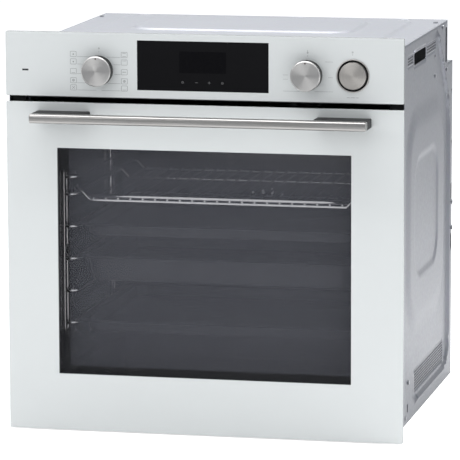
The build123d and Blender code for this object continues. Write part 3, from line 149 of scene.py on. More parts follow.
def finish(name, colour, grain_colour, grain=40.0, rough=(0.35, 0.5), stretch=(1, 1, 1), relief=0.0,
           relief_grain=200.0, **constants):
    """A material between two colours; constants are shader inputs that are even all over."""
    material = bpy.data.materials.new(name)
    material.use_nodes = True
    tree = material.node_tree
    shader = tree.nodes["Principled BSDF"]
    mapping = node(tree, "Mapping", {"Scale": stretch})
    tree.links.new(node(tree, "TexCoord").outputs["Object"], mapping.inputs["Vector"])
    patches = node(tree, "TexNoise", {"Scale": grain, "Detail": 4})
    fine = node(tree, "TexNoise", {"Scale": relief_grain, "Detail": 3})
    for texture in (patches, fine):
        tree.links.new(mapping.outputs["Vector"], texture.inputs["Vector"])
    ramp = node(tree, "ValToRGB")
    stops = ramp.color_ramp.elements
    for stop, place, tint in zip(stops, (GRAIN_LOW, GRAIN_HIGH), (colour, grain_colour)):
        stop.position, stop.color = place, (*tint, 1)
    tree.links.new(patches.outputs["Fac"], ramp.inputs["Fac"])
    tree.links.new(ramp.outputs["Color"], shader.inputs["Base Color"])
    polish = node(tree, "MapRange", {"From Min": GRAIN_LOW, "From Max": GRAIN_HIGH,
                                     "To Min": rough[0], "To Max": rough[1]})
    tree.links.new(fine.outputs["Fac"], polish.inputs["Value"])
    tree.links.new(polish.outputs["Result"], shader.inputs["Roughness"])
    if relief:
        bump = node(tree, "Bump", {"Strength": 0.5, "Distance": relief})
        tree.links.new(fine.outputs["Fac"], bump.inputs["Height"])
        tree.links.new(bump.outputs["Normal"], shader.inputs["Normal"])
    for key, value in constants.items():
        shader.inputs[key.replace("_", " ").title().replace("Ior", "IOR")].default_value = value
    return material


def blended(material, kind="MIX"):
    """Puts a mix after a finish's base colour; gives its tree, the mix and the coordinates."""
    tree = material.node_tree
    colour = tree.nodes["Principled BSDF"].inputs["Base Color"]
    blend = node(tree, "Mix", data_type="RGBA", blend_type=kind)
    tree.links.new(colour.links[0].from_socket, blend.inputs["A"])
    tree.links.new(blend.outputs["Result"], colour)
    return tree, blend, node(tree, "TexCoord")


# Floor: a pale matt sheet with a faint glow of its own, stronger to the eye than to the piece.
FLOOR_REACH, FLOOR_FRONT = 30.0, 2.2
GLOW, GLOW_SEEN = 0.2, 0.7
floor_mesh = bpy.data.meshes.new("floor")
floor_mesh.from_pydata([(x, y, 0) for x, y in (
    (-FLOOR_REACH, -FLOOR_FRONT), (FLOOR_REACH, -FLOOR_FRONT), (FLOOR_REACH, FLOOR_REACH),
    (-FLOOR_REACH, FLOOR_REACH))], [], [(0, 1, 2, 3)])
floor = bpy.data.objects.new("floor", floor_mesh)
pale_sheet = finish("pale_floor", (0.88, 0.88, 0.88), (0.9, 0.9, 0.9), grain=3.0, rough=(0.85, 0.95),
                    emission_color=(1, 1, 1, 1), specular_ior_level=0.1)
tree = pale_sheet.node_tree
glow = node(tree, "MapRange", {"To Min": GLOW, "To Max": GLOW_SEEN})
tree.links.new(node(tree, "LightPath").outputs["Is Camera Ray"], glow.inputs["Value"])
tree.links.new(glow.outputs["Result"], tree.nodes["Principled BSDF"].inputs["Emission Strength"])
floor_mesh.materials.append(pale_sheet)
bpy.context.scene.collection.objects.link(floor)
floor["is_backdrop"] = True


# ------------------------ side panels
# Each side is one galvanised steel sheet, deep drawn with a raised field, a sunk oval and a
# stiffening rib, punched with air holes and folded out to the cabinet flange.
SPANGLE_GRAIN, SPANGLE_SHARE = 160, 0.035
MERGE = 1e-6  # points closer than this are one
LINE_GAP = 0.45  # smallest share of a pitch between lines
SHEET = 0.001


def cells(rows, columns, round_rows=False, round_columns=False):
    """Corner numbers of the four-sided cells between points in rows and columns."""
    r = np.arange(rows if round_rows else rows - 1)
    c = np.arange(columns if round_columns else columns - 1)
    r, c = (a.ravel() for a in np.meshgrid(r, c, indexing="ij"))
    r_next, c_next = (r + 1) % rows, (c + 1) % columns
    return np.stack([r * columns + c, r * columns + c_next, r_next * columns + c_next,
                     r_next * columns + c], axis=-1)


def joined(*parts):
    """Several (points, faces) as one."""
    points, faces, start = [], [], 0
    for part_points, part_faces in parts:
        points.append(part_points)
        faces += [tuple(face) for face in (np.asarray(part_faces) + start).tolist()]
        start += len(part_points)
    return np.concatenate(points), faces


def piece(name, shape, material, body, bevel=0.0, crease=35, replaces=()):
    """A visible piece from (points, faces): doubles merged, faces turned outwards, edges softened."""
    points, faces = shape
    mesh = bpy.data.meshes.new(name)
    faces = [tuple(face) for face in np.asarray(faces, object)]
    mesh.from_pydata(np.asarray(points).tolist(), [], faces)
    work = bmesh.new()
    work.from_mesh(mesh)
    bmesh.ops.remove_doubles(work, verts=work.verts, dist=MERGE)
    bmesh.ops.recalc_face_normals(work, faces=work.faces)
    work.to_mesh(mesh)
    work.free()
    mesh.shade_smooth()
    mesh.set_sharp_from_angle(angle=radians(crease))
    mesh.materials.append(material)
    made = bpy.data.objects.new(name, mesh)
    bpy.context.scene.collection.objects.link(made)
    if bevel:
        edges = made.modifiers.new("edges", "BEVEL")
        edges.width = bevel
        edges.segments = 2
        edges.limit_method = "ANGLE"
        edges.harden_normals = True
    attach(made, body)
    if replaces:
        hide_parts(*replaces)
    return made


def thicken(skin, outward):
    """Gives a skin the thickness of the sheet, all of it behind the face that looks outward."""
    wall = skin.modifiers.new("wall", "SOLIDIFY")
    wall.thickness = SHEET
    wall.offset = -1 if skin.data.polygons[0].normal.dot(Vector(outward)) > 0 else 1
    return wall


def lines(low, high, pitch, *exact):
    """Grid lines from low to high, about pitch apart, with a line at each exact place."""
    fixed = np.unique(np.round([low, high, *exact], 6))
    even = np.linspace(low, high, int(round((high - low) / pitch)) + 1)
    apart = np.min(np.abs(even[:, None] - fixed[None, :]), axis=1)
    return np.sort(np.concatenate([fixed, even[apart > pitch * LINE_GAP]]))


def punched(u, v, holes):
    """Flat (u, v) points of a sheet, and its cells except those whose middle lies in a hole."""
    middle_u = ((u[1:] + u[:-1]) / 2)[:, None]
    middle_v = ((v[1:] + v[:-1]) / 2)[None, :]
    keep = np.ones((len(u) - 1, len(v) - 1), bool)
    for u0, u1, v0, v1 in holes:
        keep &= ~((middle_u > u0) & (middle_u < u1) & (middle_v > v0) & (middle_v < v1))
    grid_u, grid_v = np.meshgrid(u, v, indexing="ij")
    return np.stack([grid_u.ravel(), grid_v.ravel()], axis=-1), cells(len(u), len(v))[keep.ravel()]


def outline(half_u, half_v, radius, steps=6):
    """Points of a rounded rectangle round the origin: four quarter arcs, one after another."""
    angle = np.arange(steps + 1) * (pi / 2 / steps)
    corners = []
    for quarter, (side_u, side_v) in enumerate(((1, 1), (-1, 1), (-1, -1), (1, -1))):
        a = angle + quarter * pi / 2
        corners.append(np.stack([side_u * (half_u - radius) + radius * np.cos(a),
                                 side_v * (half_v - radius) + radius * np.sin(a)], axis=-1))
    return np.concatenate(corners)


def plate(window, radius, steps=6):
    """Points of a rounded rectangle that fills a window: its low u, high u, low v and high v."""
    u0, u1, v0, v1 = window
    return outline((u1 - u0) / 2, (v1 - v0) / 2, radius, steps) + ((u0 + u1) / 2, (v0 + v1) / 2)


def grown(window, margin):
    """A window that is larger by the margin on every side."""
    return window[0] - margin, window[1] + margin, window[2] - margin, window[3] + margin


def rimmed(window, hole, radius):
    """A flat patch that fills a window but for a rounded hole."""
    edges = [plate(window, 0), plate(hole, radius)]
    return np.concatenate(edges), cells(2, len(edges[0]), round_columns=True)


def to_edge(u, v, centre, half, radius):
    """Signed distance from points to a rounded rectangle, negative inside it."""
    past_u = np.abs(u - centre[0]) - half[0] + radius
    past_v = np.abs(v - centre[1]) - half[1] + radius
    outside = np.hypot(np.maximum(past_u, 0), np.maximum(past_v, 0))
    return outside + np.minimum(np.maximum(past_u, past_v), 0) - radius


def shoulder(distance, width):
    """1 well inside an edge and 0 outside it, with an S-shaped flank of that width across it."""
    t = np.clip(0.5 - distance / width, 0, 1)
    return t * t * (3 - 2 * t)


def to_line(u, v, corners):
    """Distance from points to a bent line."""
    nearest = np.full(np.shape(u), np.inf)
    for (u0, v0), (u1, v1) in zip(corners[:-1], corners[1:]):
        run_u, run_v = u1 - u0, v1 - v0
        along = np.clip(((u - u0) * run_u + (v - v0) * run_v) / (run_u ** 2 + run_v ** 2), 0, 1)
        nearest = np.minimum(nearest, np.hypot(u - u0 - along * run_u, v - v0 - along * run_v))
    return nearest


def zinc(name, colour, grain_colour, rough):
    """Galvanised sheet: pale zinc with faint crystal patches under a soft, slightly uneven sheen."""
    material = finish(name, colour, grain_colour, grain=5.0, rough=rough, metallic=0.6)
    tree, blend, where = blended(material, "SOFT_LIGHT")
    spangle = node(tree, "TexVoronoi", {"Scale": SPANGLE_GRAIN})
    blend.inputs["Factor"].default_value = SPANGLE_SHARE
    tree.links.new(where.outputs["Object"], spangle.inputs["Vector"])
    tree.links.new(spangle.outputs["Color"], blend.inputs["B"])
    return material


# The sides take a far darker copy of the galvanised finish than the top: painted shade on the sheets
# that face away from the light.
shaded_side_zinc = zinc("shaded_side_zinc", (0.172, 0.179, 0.204), (0.182, 0.189, 0.214), (0.3, 0.36))
# Cut edges of the sheet: bare steel, darkened further as painted shade on the walls of holes and slits.
shaded_cut_steel = finish("shaded_cut_steel", (0.05, 0.05, 0.055), (0.08, 0.08, 0.085), grain=200.0, rough=(0.5, 0.6),
                   metallic=0.5)
FIELD = ((0.2855, 0.2985), (0.1605, 0.1565), 0.075)  # centre, half size and corner radius
FIELD_RISE, FIELD_FLANK = 0.0036, 0.04
OVAL = ((0.2785, 0.3025), (0.1015, 0.0895), 0.045)
OVAL_DEPTH, OVAL_FLANK = 0.0021, 0.009
RIB = [(0.39, 0.558), (0.478, 0.456), (0.488, 0.436), (0.491, 0.41), (0.491, 0.075), (0.486, 0.048),
       (0.47, 0.03), (0.44, 0.024), (0.206, 0.024)]
RIB_RISE, RIB_HALF = 0.0048, 0.008
CARRY = (0.183, 0.283, 0.5345, 0.5525)  # holes: low y, high y, low z and high z
CARRY_RADIUS = 0.004
VENTS = [(0.126, 0.173, 0.5375, 0.5535), (0.294, 0.376, 0.5375, 0.5535), (0.193, 0.45, 0.038, 0.068)]
AIR_PITCH, AIR_HOLE = 0.0042, 0.0027
SLITS = [(0.469, 0.48, 0.508, 0.562), (0.1315, 0.1365, 0.0165, 0.0285), (0.526, 0.5345, 0.284, 0.308),
         (0.526, 0.5345, 0.203, 0.227)]
PIN_HOLES = [(0.3695, 0.5285), (0.531, 0.457), (0.531, 0.375)]
PIN_HOLE_R = 0.0024
CARRY_RIM, PIN_RIM, SIDE_GRID = 0.003, 0.004, 0.0045
NOTCH_Y, NOTCH_Z = 0.487, 0.504  # step of the rear edge
TOE_Y, TOE_Z = 0.018, 0.024  # cut-back lower front corner
FACE_X, LIP, LIP_EDGE = 0.2765, 0.011, 0.0003  # side face, flange's lip and its bevel


def side_relief(y, z):
    """How far the sheet stands out: raised field, less the sunk oval, and the rib."""
    rise = FIELD_RISE * shoulder(to_edge(y, z, *FIELD), FIELD_FLANK)
    rise = rise - OVAL_DEPTH * shoulder(to_edge(y, z, *OVAL), OVAL_FLANK)
    across = np.clip(to_line(y, z, RIB) / RIB_HALF, 0, 1)
    return rise + RIB_RISE * (0.5 + 0.5 * np.cos(pi * across))


def perforated(window):
    """A patch with square air holes in rows, framed by the window's edges."""
    grid, starts = [], []
    for low, high in (window[:2], window[2:]):
        count = int((high - low) / AIR_PITCH)
        reach = (count - 1) * AIR_PITCH + AIR_HOLE
        start = (low + high - reach) / 2 + np.arange(count) * AIR_PITCH
        grid.append(np.unique(np.concatenate([[low, high], start, start + AIR_HOLE])))
        starts.append(start)
    return punched(*grid, [(a, a + AIR_HOLE, b, b + AIR_HOLE) for a in starts[0] for b in starts[1]])


def placed(flat, axis, place):
    """Flat points put into the plane at that place on an axis."""
    return np.insert(flat, axis, place, axis=1)


def prism(corners, low, high, axis):
    """A straight bar with that outline between two places along an axis, its ends closed."""
    count = len(corners)
    sides = [tuple(face) for face in cells(2, count, round_columns=True).tolist()]
    points = np.concatenate([placed(np.asarray(corners, float), axis, place) for place in (low, high)])
    return points, [*sides, tuple(range(count)), tuple(range(count, 2 * count))]


for side, side_name in ((-1, "left"), (1, "right")):
    panel_low, panel_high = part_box(side_name + "_side_panel")
    rear_y, top_z = panel_high.y, panel_high.z
    carry_window = grown(CARRY, CARRY_RIM)
    pins = [(y, y, z, z) for y, z in PIN_HOLES]
    windows = [*VENTS, carry_window, *SLITS, *[grown(pin, PIN_RIM) for pin in pins]]
    holes = [*windows, (NOTCH_Y, np.inf, NOTCH_Z, np.inf), (-np.inf, TOE_Y, -np.inf, TOE_Z)]
    y_lines = lines(-SHEET, rear_y, SIDE_GRID, NOTCH_Y, TOE_Y, *[w[k] for w in windows for k in (0, 1)])
    z_lines = lines(0, top_z, SIDE_GRID, NOTCH_Z, TOE_Z, *[w[k] for w in windows for k in (2, 3)])
    flat, faces = joined(
        punched(y_lines, z_lines, holes), *[perforated(vent) for vent in VENTS],
        rimmed(carry_window, CARRY, CARRY_RADIUS),
        *[rimmed(grown(pin, PIN_RIM), grown(pin, PIN_HOLE_R), PIN_HOLE_R) for pin in pins])
    y, z = flat.T
    skin = np.stack([side * (FACE_X + side_relief(y, z)), y, z], axis=-1)
    made = piece(side_name + "_side_skin", (skin, faces), shaded_side_zinc, "housing",
                 replaces=[side_name + "_side_panel"])
    made.data.materials.append(shaded_cut_steel)
    # The sheet's cut edges take the dark cut steel, which paints the shade in its holes and slits.
    thicken(made, (side, 0, 0)).material_offset_rim = 1
    flange_x = abs(panel_high.x if side > 0 else panel_low.x)
    fold = [(side * x, y) for x, y in (
        (FACE_X - SHEET, 0), (flange_x, 0), (flange_x, -LIP), (flange_x - SHEET, -LIP),
        (flange_x - SHEET, -SHEET), (FACE_X - SHEET, -SHEET))]
    piece(side_name + "_flange", prism(fold, TOE_Z, top_z, 2), shaded_side_zinc, "housing",
          bevel=LIP_EDGE)

# ------------------------ top panel
# The lid is a galvanised sheet with two pressed steps, one inside the other, and three slots for
# the tabs of the rear panel. It is screwed down at its corners.
top_zinc = zinc("top_zinc", (0.475, 0.485, 0.52), (0.495, 0.505, 0.54), (0.38, 0.44))
lid_low, lid_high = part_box("top_panel")
OUTER_STEP = ((0.0, 0.262), (0.231, 0.18), 0.038)
INNER_STEP = ((0.0, 0.312), (0.172, 0.092), 0.04)
STEP_RISE, STEP_FLANK, LID_GRID = 0.003, 0.006, 0.0031
TAB_HALF, TAB_FRONT, TAB_BACK = 0.008, 0.4715, 0.4755
TABS = [(x - TAB_HALF, x + TAB_HALF, TAB_FRONT, TAB_BACK) for x in (-0.209, 0.045, 0.209)]
x_lines = lines(lid_low.x, lid_high.x, LID_GRID, *[t[k] for t in TABS for k in (0, 1)])
y_lines = lines(lid_low.y, lid_high.y, LID_GRID, *[t[k] for t in TABS for k in (2, 3)])
flat, faces = punched(x_lines, y_lines, TABS)
x, y = flat.T
rise = STEP_RISE * (shoulder(to_edge(x, y, *OUTER_STEP), STEP_FLANK)
                    + shoulder(to_edge(x, y, *INNER_STEP), STEP_FLANK))
lid = piece("top_skin", (np.stack([x, y, lid_high.z + rise], axis=-1), faces), top_zinc, "housing",
            replaces=["top_panel"])
thicken(lid, (0, 0, 1))


# ------------------------ base, rear and screws
# Base, rear cover and upper rear panel are plain galvanised sheets with rows of air slots. Pan
# head screws of zinc plated steel hold the housing together.
def dress(material, *names):
    """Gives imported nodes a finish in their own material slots."""
    for name in names:
        for slot in nodes[name].material_slots:
            slot.material = material


rear_zinc = zinc("rear_zinc", (0.38, 0.39, 0.42), (0.43, 0.44, 0.47), (0.3, 0.36))
dress(rear_zinc, "base_panel", "rear_cover", "upper_rear_panel", "cooling_duct", "blower_housing")
dress(finish("screw_zinc", (0.3, 0.31, 0.33), (0.46, 0.47, 0.49), grain=300.0, rough=(0.25, 0.4),
             metallic=1.0), "body_screws", "door_screws")

# ------------------------ front frame
# A black painted steel arch stiffens the front of the housing and carries the control panel.
dress(finish("black_paint", (0.012, 0.012, 0.013), (0.022, 0.022, 0.024), grain=60.0, rough=(0.45, 0.6),
             relief=0.00002, relief_grain=900.0, specular_ior_level=0.3), "front_frame")


# ------------------------ cavity
# The muffle and its fan cover are deep drawn steel with dark vitreous enamel, glossy and finely
# speckled. The trays have a darker, duller copy of it, and the darker colour is painted shade.
SPECK_GRAIN, SPECK_SIZE = 260, 0.13


def enamelled(name, colour, grain_colour, speck, rough=(0.16, 0.28), coat_weight=0.4, **constants):
    """Gloss enamel with small pale specks scattered in the glaze."""
    material = finish(name, colour, grain_colour, grain=14.0, rough=rough, relief=0.00003,
                      relief_grain=120.0, coat_weight=coat_weight, **constants)
    tree, blend, where = blended(material)
    blend.inputs["B"].default_value = (*speck, 1)
    dots = node(tree, "TexVoronoi", {"Scale": SPECK_GRAIN})
    small = node(tree, "Math", {1: SPECK_SIZE}, operation="LESS_THAN")
    tree.links.new(where.outputs["Object"], dots.inputs["Vector"])
    tree.links.new(dots.outputs["Distance"], small.inputs[0])
    tree.links.new(small.outputs[0], blend.inputs["Factor"])
    return material


dress(enamelled("muffle_enamel", (0.03, 0.031, 0.036), (0.042, 0.043, 0.05), (0.16, 0.17, 0.19)),
      "cavity", "fan_cover")

# The seal is a woven glass fibre tube, pressed onto the mouth of the cavity. The insulation
# blanket behind is loose mineral wool.
dress(finish("seal_weave", (0.03, 0.03, 0.03), (0.075, 0.073, 0.07), grain=700.0, rough=(0.8, 0.95),
             relief=0.0003, relief_grain=900.0, sheen_weight=0.2), "cavity_seal")
dress(finish("mineral_wool", (0.55, 0.5, 0.36), (0.72, 0.67, 0.52), grain=45.0, rough=(0.9, 1.0),
             relief=0.002, relief_grain=160.0, sheen_weight=0.3), "insulation")

# ------------------------ racks and shelf
# Side racks and shelf are bent and spot welded steel wire with bright chrome plating. The racks
# hang on studs in the cavity walls, and the shelf slides on their highest rungs.
chrome = finish("bright_chrome", (0.62, 0.62, 0.64), (0.74, 0.74, 0.76), grain=30.0, rough=(0.1, 0.2),
                metallic=1.0)
END_OUT, END_SIZE = 0.15, 0.8  # how a wire's end is drawn in


def bent(corners, radius, steps=5):
    """A path through corners with each inner corner replaced by an arc of that radius."""
    corners = [Vector(corner) for corner in corners]
    path = [corners[0]]
    for before, corner, after in zip(corners, corners[1:], corners[2:]):
        to_before, to_after = (before - corner).normalized(), (after - corner).normalized()
        half = to_before.angle(to_after) / 2
        centre = corner + (to_before + to_after).normalized() * (radius / sin(half))
        reach = radius / np.tan(half)
        first, last = corner + to_before * reach - centre, corner + to_after * reach - centre
        path += [centre + first.slerp(last, step / steps) * radius for step in range(steps + 1)]
    return np.array([*path, corners[-1]])


def wire(path, radius, plane, sides=10):
    """A round wire along a flat path: a circle carried square to it, its ends drawn in to a point.
    plane is the normal of the plane that the path lies in."""
    path, plane = np.asarray(path, float), np.asarray(plane, float)
    ahead = np.gradient(path, axis=0)
    ahead /= np.linalg.norm(ahead, axis=1)[:, None]
    across = np.cross(ahead, plane)
    rings = np.concatenate([path[:1], path[:1], path, path[-1:], path[-1:]])
    across = np.concatenate([across[:1], across[:1], across, across[-1:], across[-1:]])
    size = np.full(len(rings), radius)
    size[[0, -1]] = 0
    size[[1, -2]] = radius * END_SIZE
    rings[:2] -= ahead[0] * radius * END_OUT
    rings[-2:] += ahead[-1] * radius * END_OUT
    angle = np.arange(sides) * tau / sides
    ring = np.cos(angle)[None, :, None] * across[:, None, :] + np.sin(angle)[None, :, None] * plane
    points = rings[:, None, :] + size[:, None, None] * ring
    return points.reshape(-1, 3), cells(len(rings), sides, round_columns=True)


LEVELS = [0.146 + 0.049 * number for number in range(5)]
UPRIGHT_R, RUNG_R = 0.0025, 0.0022
RACK_X, RUNG_X, PAIR = 0.236, 0.217, 0.017  # PAIR: gap between two uprights
RACK_LOW, RACK_HIGH, RACK_LIP, RACK_SEAM = 0.133, 0.377, 0.368, 0.163
BEND, RUNG_BEND, RUNG_IN = 0.005, 0.009, 0.012
rack_low, rack_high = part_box("right_rack")
rack_front, rack_back = rack_low.y + UPRIGHT_R, rack_high.y - UPRIGHT_R
for side, side_name in ((-1, "left"), (1, "right")):
    x = side * RACK_X
    wires = []
    for near, far in ((rack_front, rack_front + PAIR), (rack_back - PAIR, rack_back)):
        loop = [(x, near, RACK_SEAM), (x, near, RACK_HIGH), (x, far, RACK_HIGH), (x, far, RACK_LOW),
                (x, near, RACK_LOW), (x, near, RACK_SEAM)]
        wires.append(wire(bent(loop, BEND), UPRIGHT_R, (1, 0, 0)))
    for z in [*LEVELS, RACK_LIP]:
        rung = [(x, rack_front, z), (side * RUNG_X, rack_front + RUNG_IN, z),
                (side * RUNG_X, rack_back - RUNG_IN, z), (x, rack_back, z)]
        wires.append(wire(bent(rung, RUNG_BEND), RUNG_R, (0, 0, 1)))
    piece(side_name + "_wire_rack", joined(*wires), chrome, "housing", crease=80,
          replaces=[side_name + "_rack"])

shelf_low, shelf_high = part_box("wire_shelf")
shelf_front, shelf_back = shelf_low.y, shelf_high.y
RAIL_R, CROSS_R, GRID_R = 0.0025, 0.002, 0.0016
GRID_DROP, KINK_IN, KINK_OUT, GRID_PITCH, GRID_SIDE = 0.0125, 0.021, 0.009, 0.019, 0.006
WELD, BAR_WELD, BAR_PAST = 0.0004, 0.0006, 0.008  # welds sink one wire into the other
CROSS_IN, MIDDLE_BACK, GRID_IN = 0.003, 0.014, 0.001
rail_z = shelf_high.z - RAIL_R
grid_z = rail_z - GRID_DROP
wire_z = grid_z + CROSS_R + GRID_R - WELD
bar_z = wire_z + GRID_R + RAIL_R - BAR_WELD
grid_half = int((RUNG_X - KINK_IN - GRID_SIDE) / GRID_PITCH)
bar_half = grid_half * GRID_PITCH + BAR_PAST
bar_y = shelf_front + RAIL_R
wires = [wire([(x, shelf_front + RAIL_R, rail_z), (x, shelf_back - RAIL_R, rail_z)], RAIL_R, (0, 0, 1))
         for x in (-RUNG_X, RUNG_X)]
middle_y = (shelf_front + 2 * shelf_back) / 3 + MIDDLE_BACK
for y in (shelf_front + CROSS_IN, middle_y, shelf_back - CROSS_IN):
    half = [(RUNG_X, y, rail_z), (RUNG_X - KINK_OUT, y, rail_z), (RUNG_X - KINK_IN, y, grid_z)]
    cross = [(-x, y, z) for x, y, z in half] + half[::-1]
    wires.append(wire(bent(cross, BEND), CROSS_R, (0, 1, 0)))
for x in np.arange(-grid_half, grid_half + 1) * GRID_PITCH:
    wires.append(wire([(x, shelf_front + GRID_IN, wire_z), (x, shelf_back - GRID_IN, wire_z)], GRID_R,
                      (0, 0, 1), sides=8))
wires.append(wire([(-bar_half, bar_y, bar_z), (bar_half, bar_y, bar_z)], RAIL_R, (0, 0, 1)))
piece("chrome_shelf", joined(*wires), chrome, "shelf", crease=80,
      replaces=["wire_shelf"])
dress(chrome, "rack_fixings")

# ------------------------ trays
# Trays are pressed sheet steel with a flat rim, sloping walls and rounded corners, enamelled like
# the cavity but darker and duller, the darker colour being painted shade on the tray walls. They lie
# with their rims on the rungs.
# The tray enamel is darker than the cavity's: painted shade on the tray walls.
shaded_tray_enamel = enamelled("shaded_tray_enamel", (0.02, 0.021, 0.024), (0.03, 0.031, 0.035), (0.12, 0.13, 0.14),
                        rough=(0.38, 0.5), coat_weight=0.0, specular_ior_level=0.12)
TRAY_WALL, RIM, SIDE_RIM, WALL_SLOPE = 0.0012, 0.015, 0.0155, radians(8)
FLOOR_BEND, MIDDLE = 0.004, 0.001  # bend at the floor, half of its middle


def loft(rings, round_rows=False):
    """A surface through outlines with equal numbers of points, closed round each of them."""
    return np.concatenate(rings), cells(len(rings), len(rings[0]), round_rows, round_columns=True)


def pan(name):
    """A pressed pan inside a node's box: outlines stepped from the rim in and down to the floor."""
    low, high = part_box(name)
    half_x, half_y, depth = (high.x - low.x) / 2, (high.y - low.y) / 2, high.z - low.z
    bed = depth - TRAY_WALL
    slope = bed * np.tan(WALL_SLOPE)
    # Each step: how far in from the sides and from the front and back, corner radius, and drop.
    rim = [(0, 0, 0.016, TRAY_WALL), (0, 0, 0.016, 0.0003), (0.0004, 0.0004, 0.0156, 0)]
    wall = [(-0.002, 0.024, 0), (0, 0.022, 0.0006), (slope * 0.9, 0.02, bed - FLOOR_BEND),
            (slope + 0.001, 0.02, bed - 0.001), (slope + FLOOR_BEND, 0.018, bed)]
    wall = [(SIDE_RIM + a, RIM + a, r, drop) for a, r, drop in wall]
    under = [(a, b, r, min(drop + TRAY_WALL, depth)) for a, b, r, drop in wall]
    middle = [(half_x - MIDDLE, half_y - MIDDLE, MIDDLE / 2, drop) for drop in (bed, depth)]
    rings = []
    for inset_x, inset_y, radius, drop in [*rim, *wall, *middle, *under[::-1]]:
        ring = plate((low.x + inset_x, high.x - inset_x, low.y + inset_y, high.y - inset_y), radius)
        rings.append(placed(ring, 2, high.z - drop))
    return loft(rings, round_rows=True)


# The front rim of each tray ends in a rolled bead, a paler grey than the enamel: a painted highlight
# where the rim catches the light.
rim_highlight_grey = finish("rim_highlight_grey", (0.16, 0.165, 0.18), (0.22, 0.225, 0.24), grain=120.0,
                   rough=(0.35, 0.45), metallic=0.5)
BEAD_R, BEAD_IN = 0.0006, 0.012
for name in ("baking_tray", "deep_tray", "lower_tray"):
    piece("enamel_" + name, pan(name), shaded_tray_enamel, name, replaces=[name])
    low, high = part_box(name)
    bead = [(x, low.y + BEAD_R, high.z - BEAD_R) for x in (low.x + BEAD_IN, high.x - BEAD_IN)]
    piece(name + "_bead", wire(bead, BEAD_R, (0, 0, 1), sides=8), rim_highlight_grey, name, crease=80)

# ------------------------ heat, light and fans
# Heating elements are steel tubes darkened by heat. Fans, motors and brackets are bare sheet
# steel, the lamp has a ceramic socket and a clear pressed glass lens.
dress(finish("hot_steel", (0.075, 0.072, 0.072), (0.16, 0.145, 0.14), grain=35.0, rough=(0.4, 0.6),
             relief=0.00003, relief_grain=500.0, metallic=0.9),
      "ring_element", "grill_element", "bottom_element")
bare_steel = finish("bare_steel", (0.42, 0.42, 0.43), (0.56, 0.56, 0.57), grain=60.0, rough=(0.3, 0.45),
                    relief=0.00002, relief_grain=400.0, metallic=1.0)
dress(bare_steel, "temperature_probe", "fan_motor", "fan_impeller", "blower_motor", "blower_impeller",
      "safety_thermostat", "hinge_receivers", "hinge_arms", "hinge_channels", "hinge_pins",
      "hinge_rods")
dress(finish("spring_steel", (0.2, 0.2, 0.21), (0.34, 0.34, 0.35), grain=200.0, rough=(0.25, 0.4),
             metallic=1.0), "hinge_springs")
dress(finish("socket_ceramic", (0.78, 0.75, 0.68), (0.86, 0.83, 0.76), grain=50.0, rough=(0.6, 0.8),
             relief=0.0001, relief_grain=700.0), "lamp_holder")


def see_through(name, colour, grain_colour, alpha, rough=(0.02, 0.05), **constants):
    """A thin clear pane or coating: what lies behind shows by 1 less alpha."""
    return finish(name, colour, grain_colour, grain=6.0, rough=rough, alpha=alpha, **constants)


dress(see_through("lens_glass", (0.55, 0.58, 0.6), (0.62, 0.65, 0.67), 0.35), "lamp_lens", "lamp_bulb")

# ------------------------ electrics
# Boards are green glass fibre laminate, the terminal block and the switches are moulded plastic.
dress(finish("board_laminate", (0.02, 0.11, 0.045), (0.035, 0.16, 0.07), grain=220.0, rough=(0.3, 0.5),
             relief=0.00005, relief_grain=1500.0), "power_board", "display_board")
dress(finish("moulded_white", (0.66, 0.66, 0.63), (0.72, 0.72, 0.69), grain=20.0, rough=(0.45, 0.6),
             relief=0.00003, relief_grain=1200.0), "terminal_block", "selector_switches")

# ------------------------ control panel
# The panel is a pane of glass with white enamel fired on its back, so the white is deep and the
# surface glossy. It is glued to a painted steel chassis.
EDGE_FACING, FRONT_FACING = 0.4, 0.9  # how much a face looks along Y


def enamelled_glass(name, edge_and_gap_shade):
    """White fired glass whose edge faces are darker: partly the ground glass showing its thickness,
    partly painted shade of the gap round the glass.
    """
    material = finish(name, (0.745, 0.77, 0.77), (0.76, 0.785, 0.785), grain=3.0, rough=(0.05, 0.08),
                      specular_ior_level=0.35)
    tree, blend, where = blended(material)
    blend.inputs["B"].default_value = (*edge_and_gap_shade, 1)
    apart = node(tree, "SeparateXYZ")
    facing = node(tree, "Math", operation="ABSOLUTE")
    sideways = node(tree, "MapRange", {"From Min": EDGE_FACING, "From Max": FRONT_FACING,
                                       "To Min": 1, "To Max": 0})
    tree.links.new(where.outputs["Normal"], apart.inputs["Vector"])
    tree.links.new(apart.outputs["Y"], facing.inputs[0])
    tree.links.new(facing.outputs[0], sideways.inputs["Value"])
    tree.links.new(sideways.outputs["Result"], blend.inputs["Factor"])
    return material


# The panel glass's edges are painted near black: the shade of the gap between the glass and the
# housing.
dress(enamelled_glass("panel_glass", (0.1, 0.11, 0.11)), "control_glass")
dress(finish("grey_paint", (0.4, 0.41, 0.42), (0.46, 0.47, 0.48), grain=25.0, rough=(0.4, 0.55),
             relief=0.00003, relief_grain=1400.0), "control_chassis", "door_columns")

# The display is a black glass plate with a touch layer. A darker screen lies in its middle, and
# four touch symbols are printed in pale grey under it.
dress(finish("display_black", (0.0075, 0.0075, 0.0085), (0.0095, 0.0095, 0.0105), grain=5.0,
             rough=(0.05, 0.09), specular_ior_level=0.06), "display_glass")
glass_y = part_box("display_glass")[0].y
INK = 0.00012
screen_black = finish("screen_black", (0.004, 0.004, 0.005), (0.0055, 0.0055, 0.0065), grain=400.0,
                      rough=(0.15, 0.22), specular_ior_level=0.05)
SCREEN, SCREEN_CORNER = (-0.035, 0.035, 0.54, 0.5715), 0.0008
piece("screen_window", prism(plate(SCREEN, SCREEN_CORNER), glass_y - INK / 2, glass_y + INK, 1),
      screen_black, "housing")


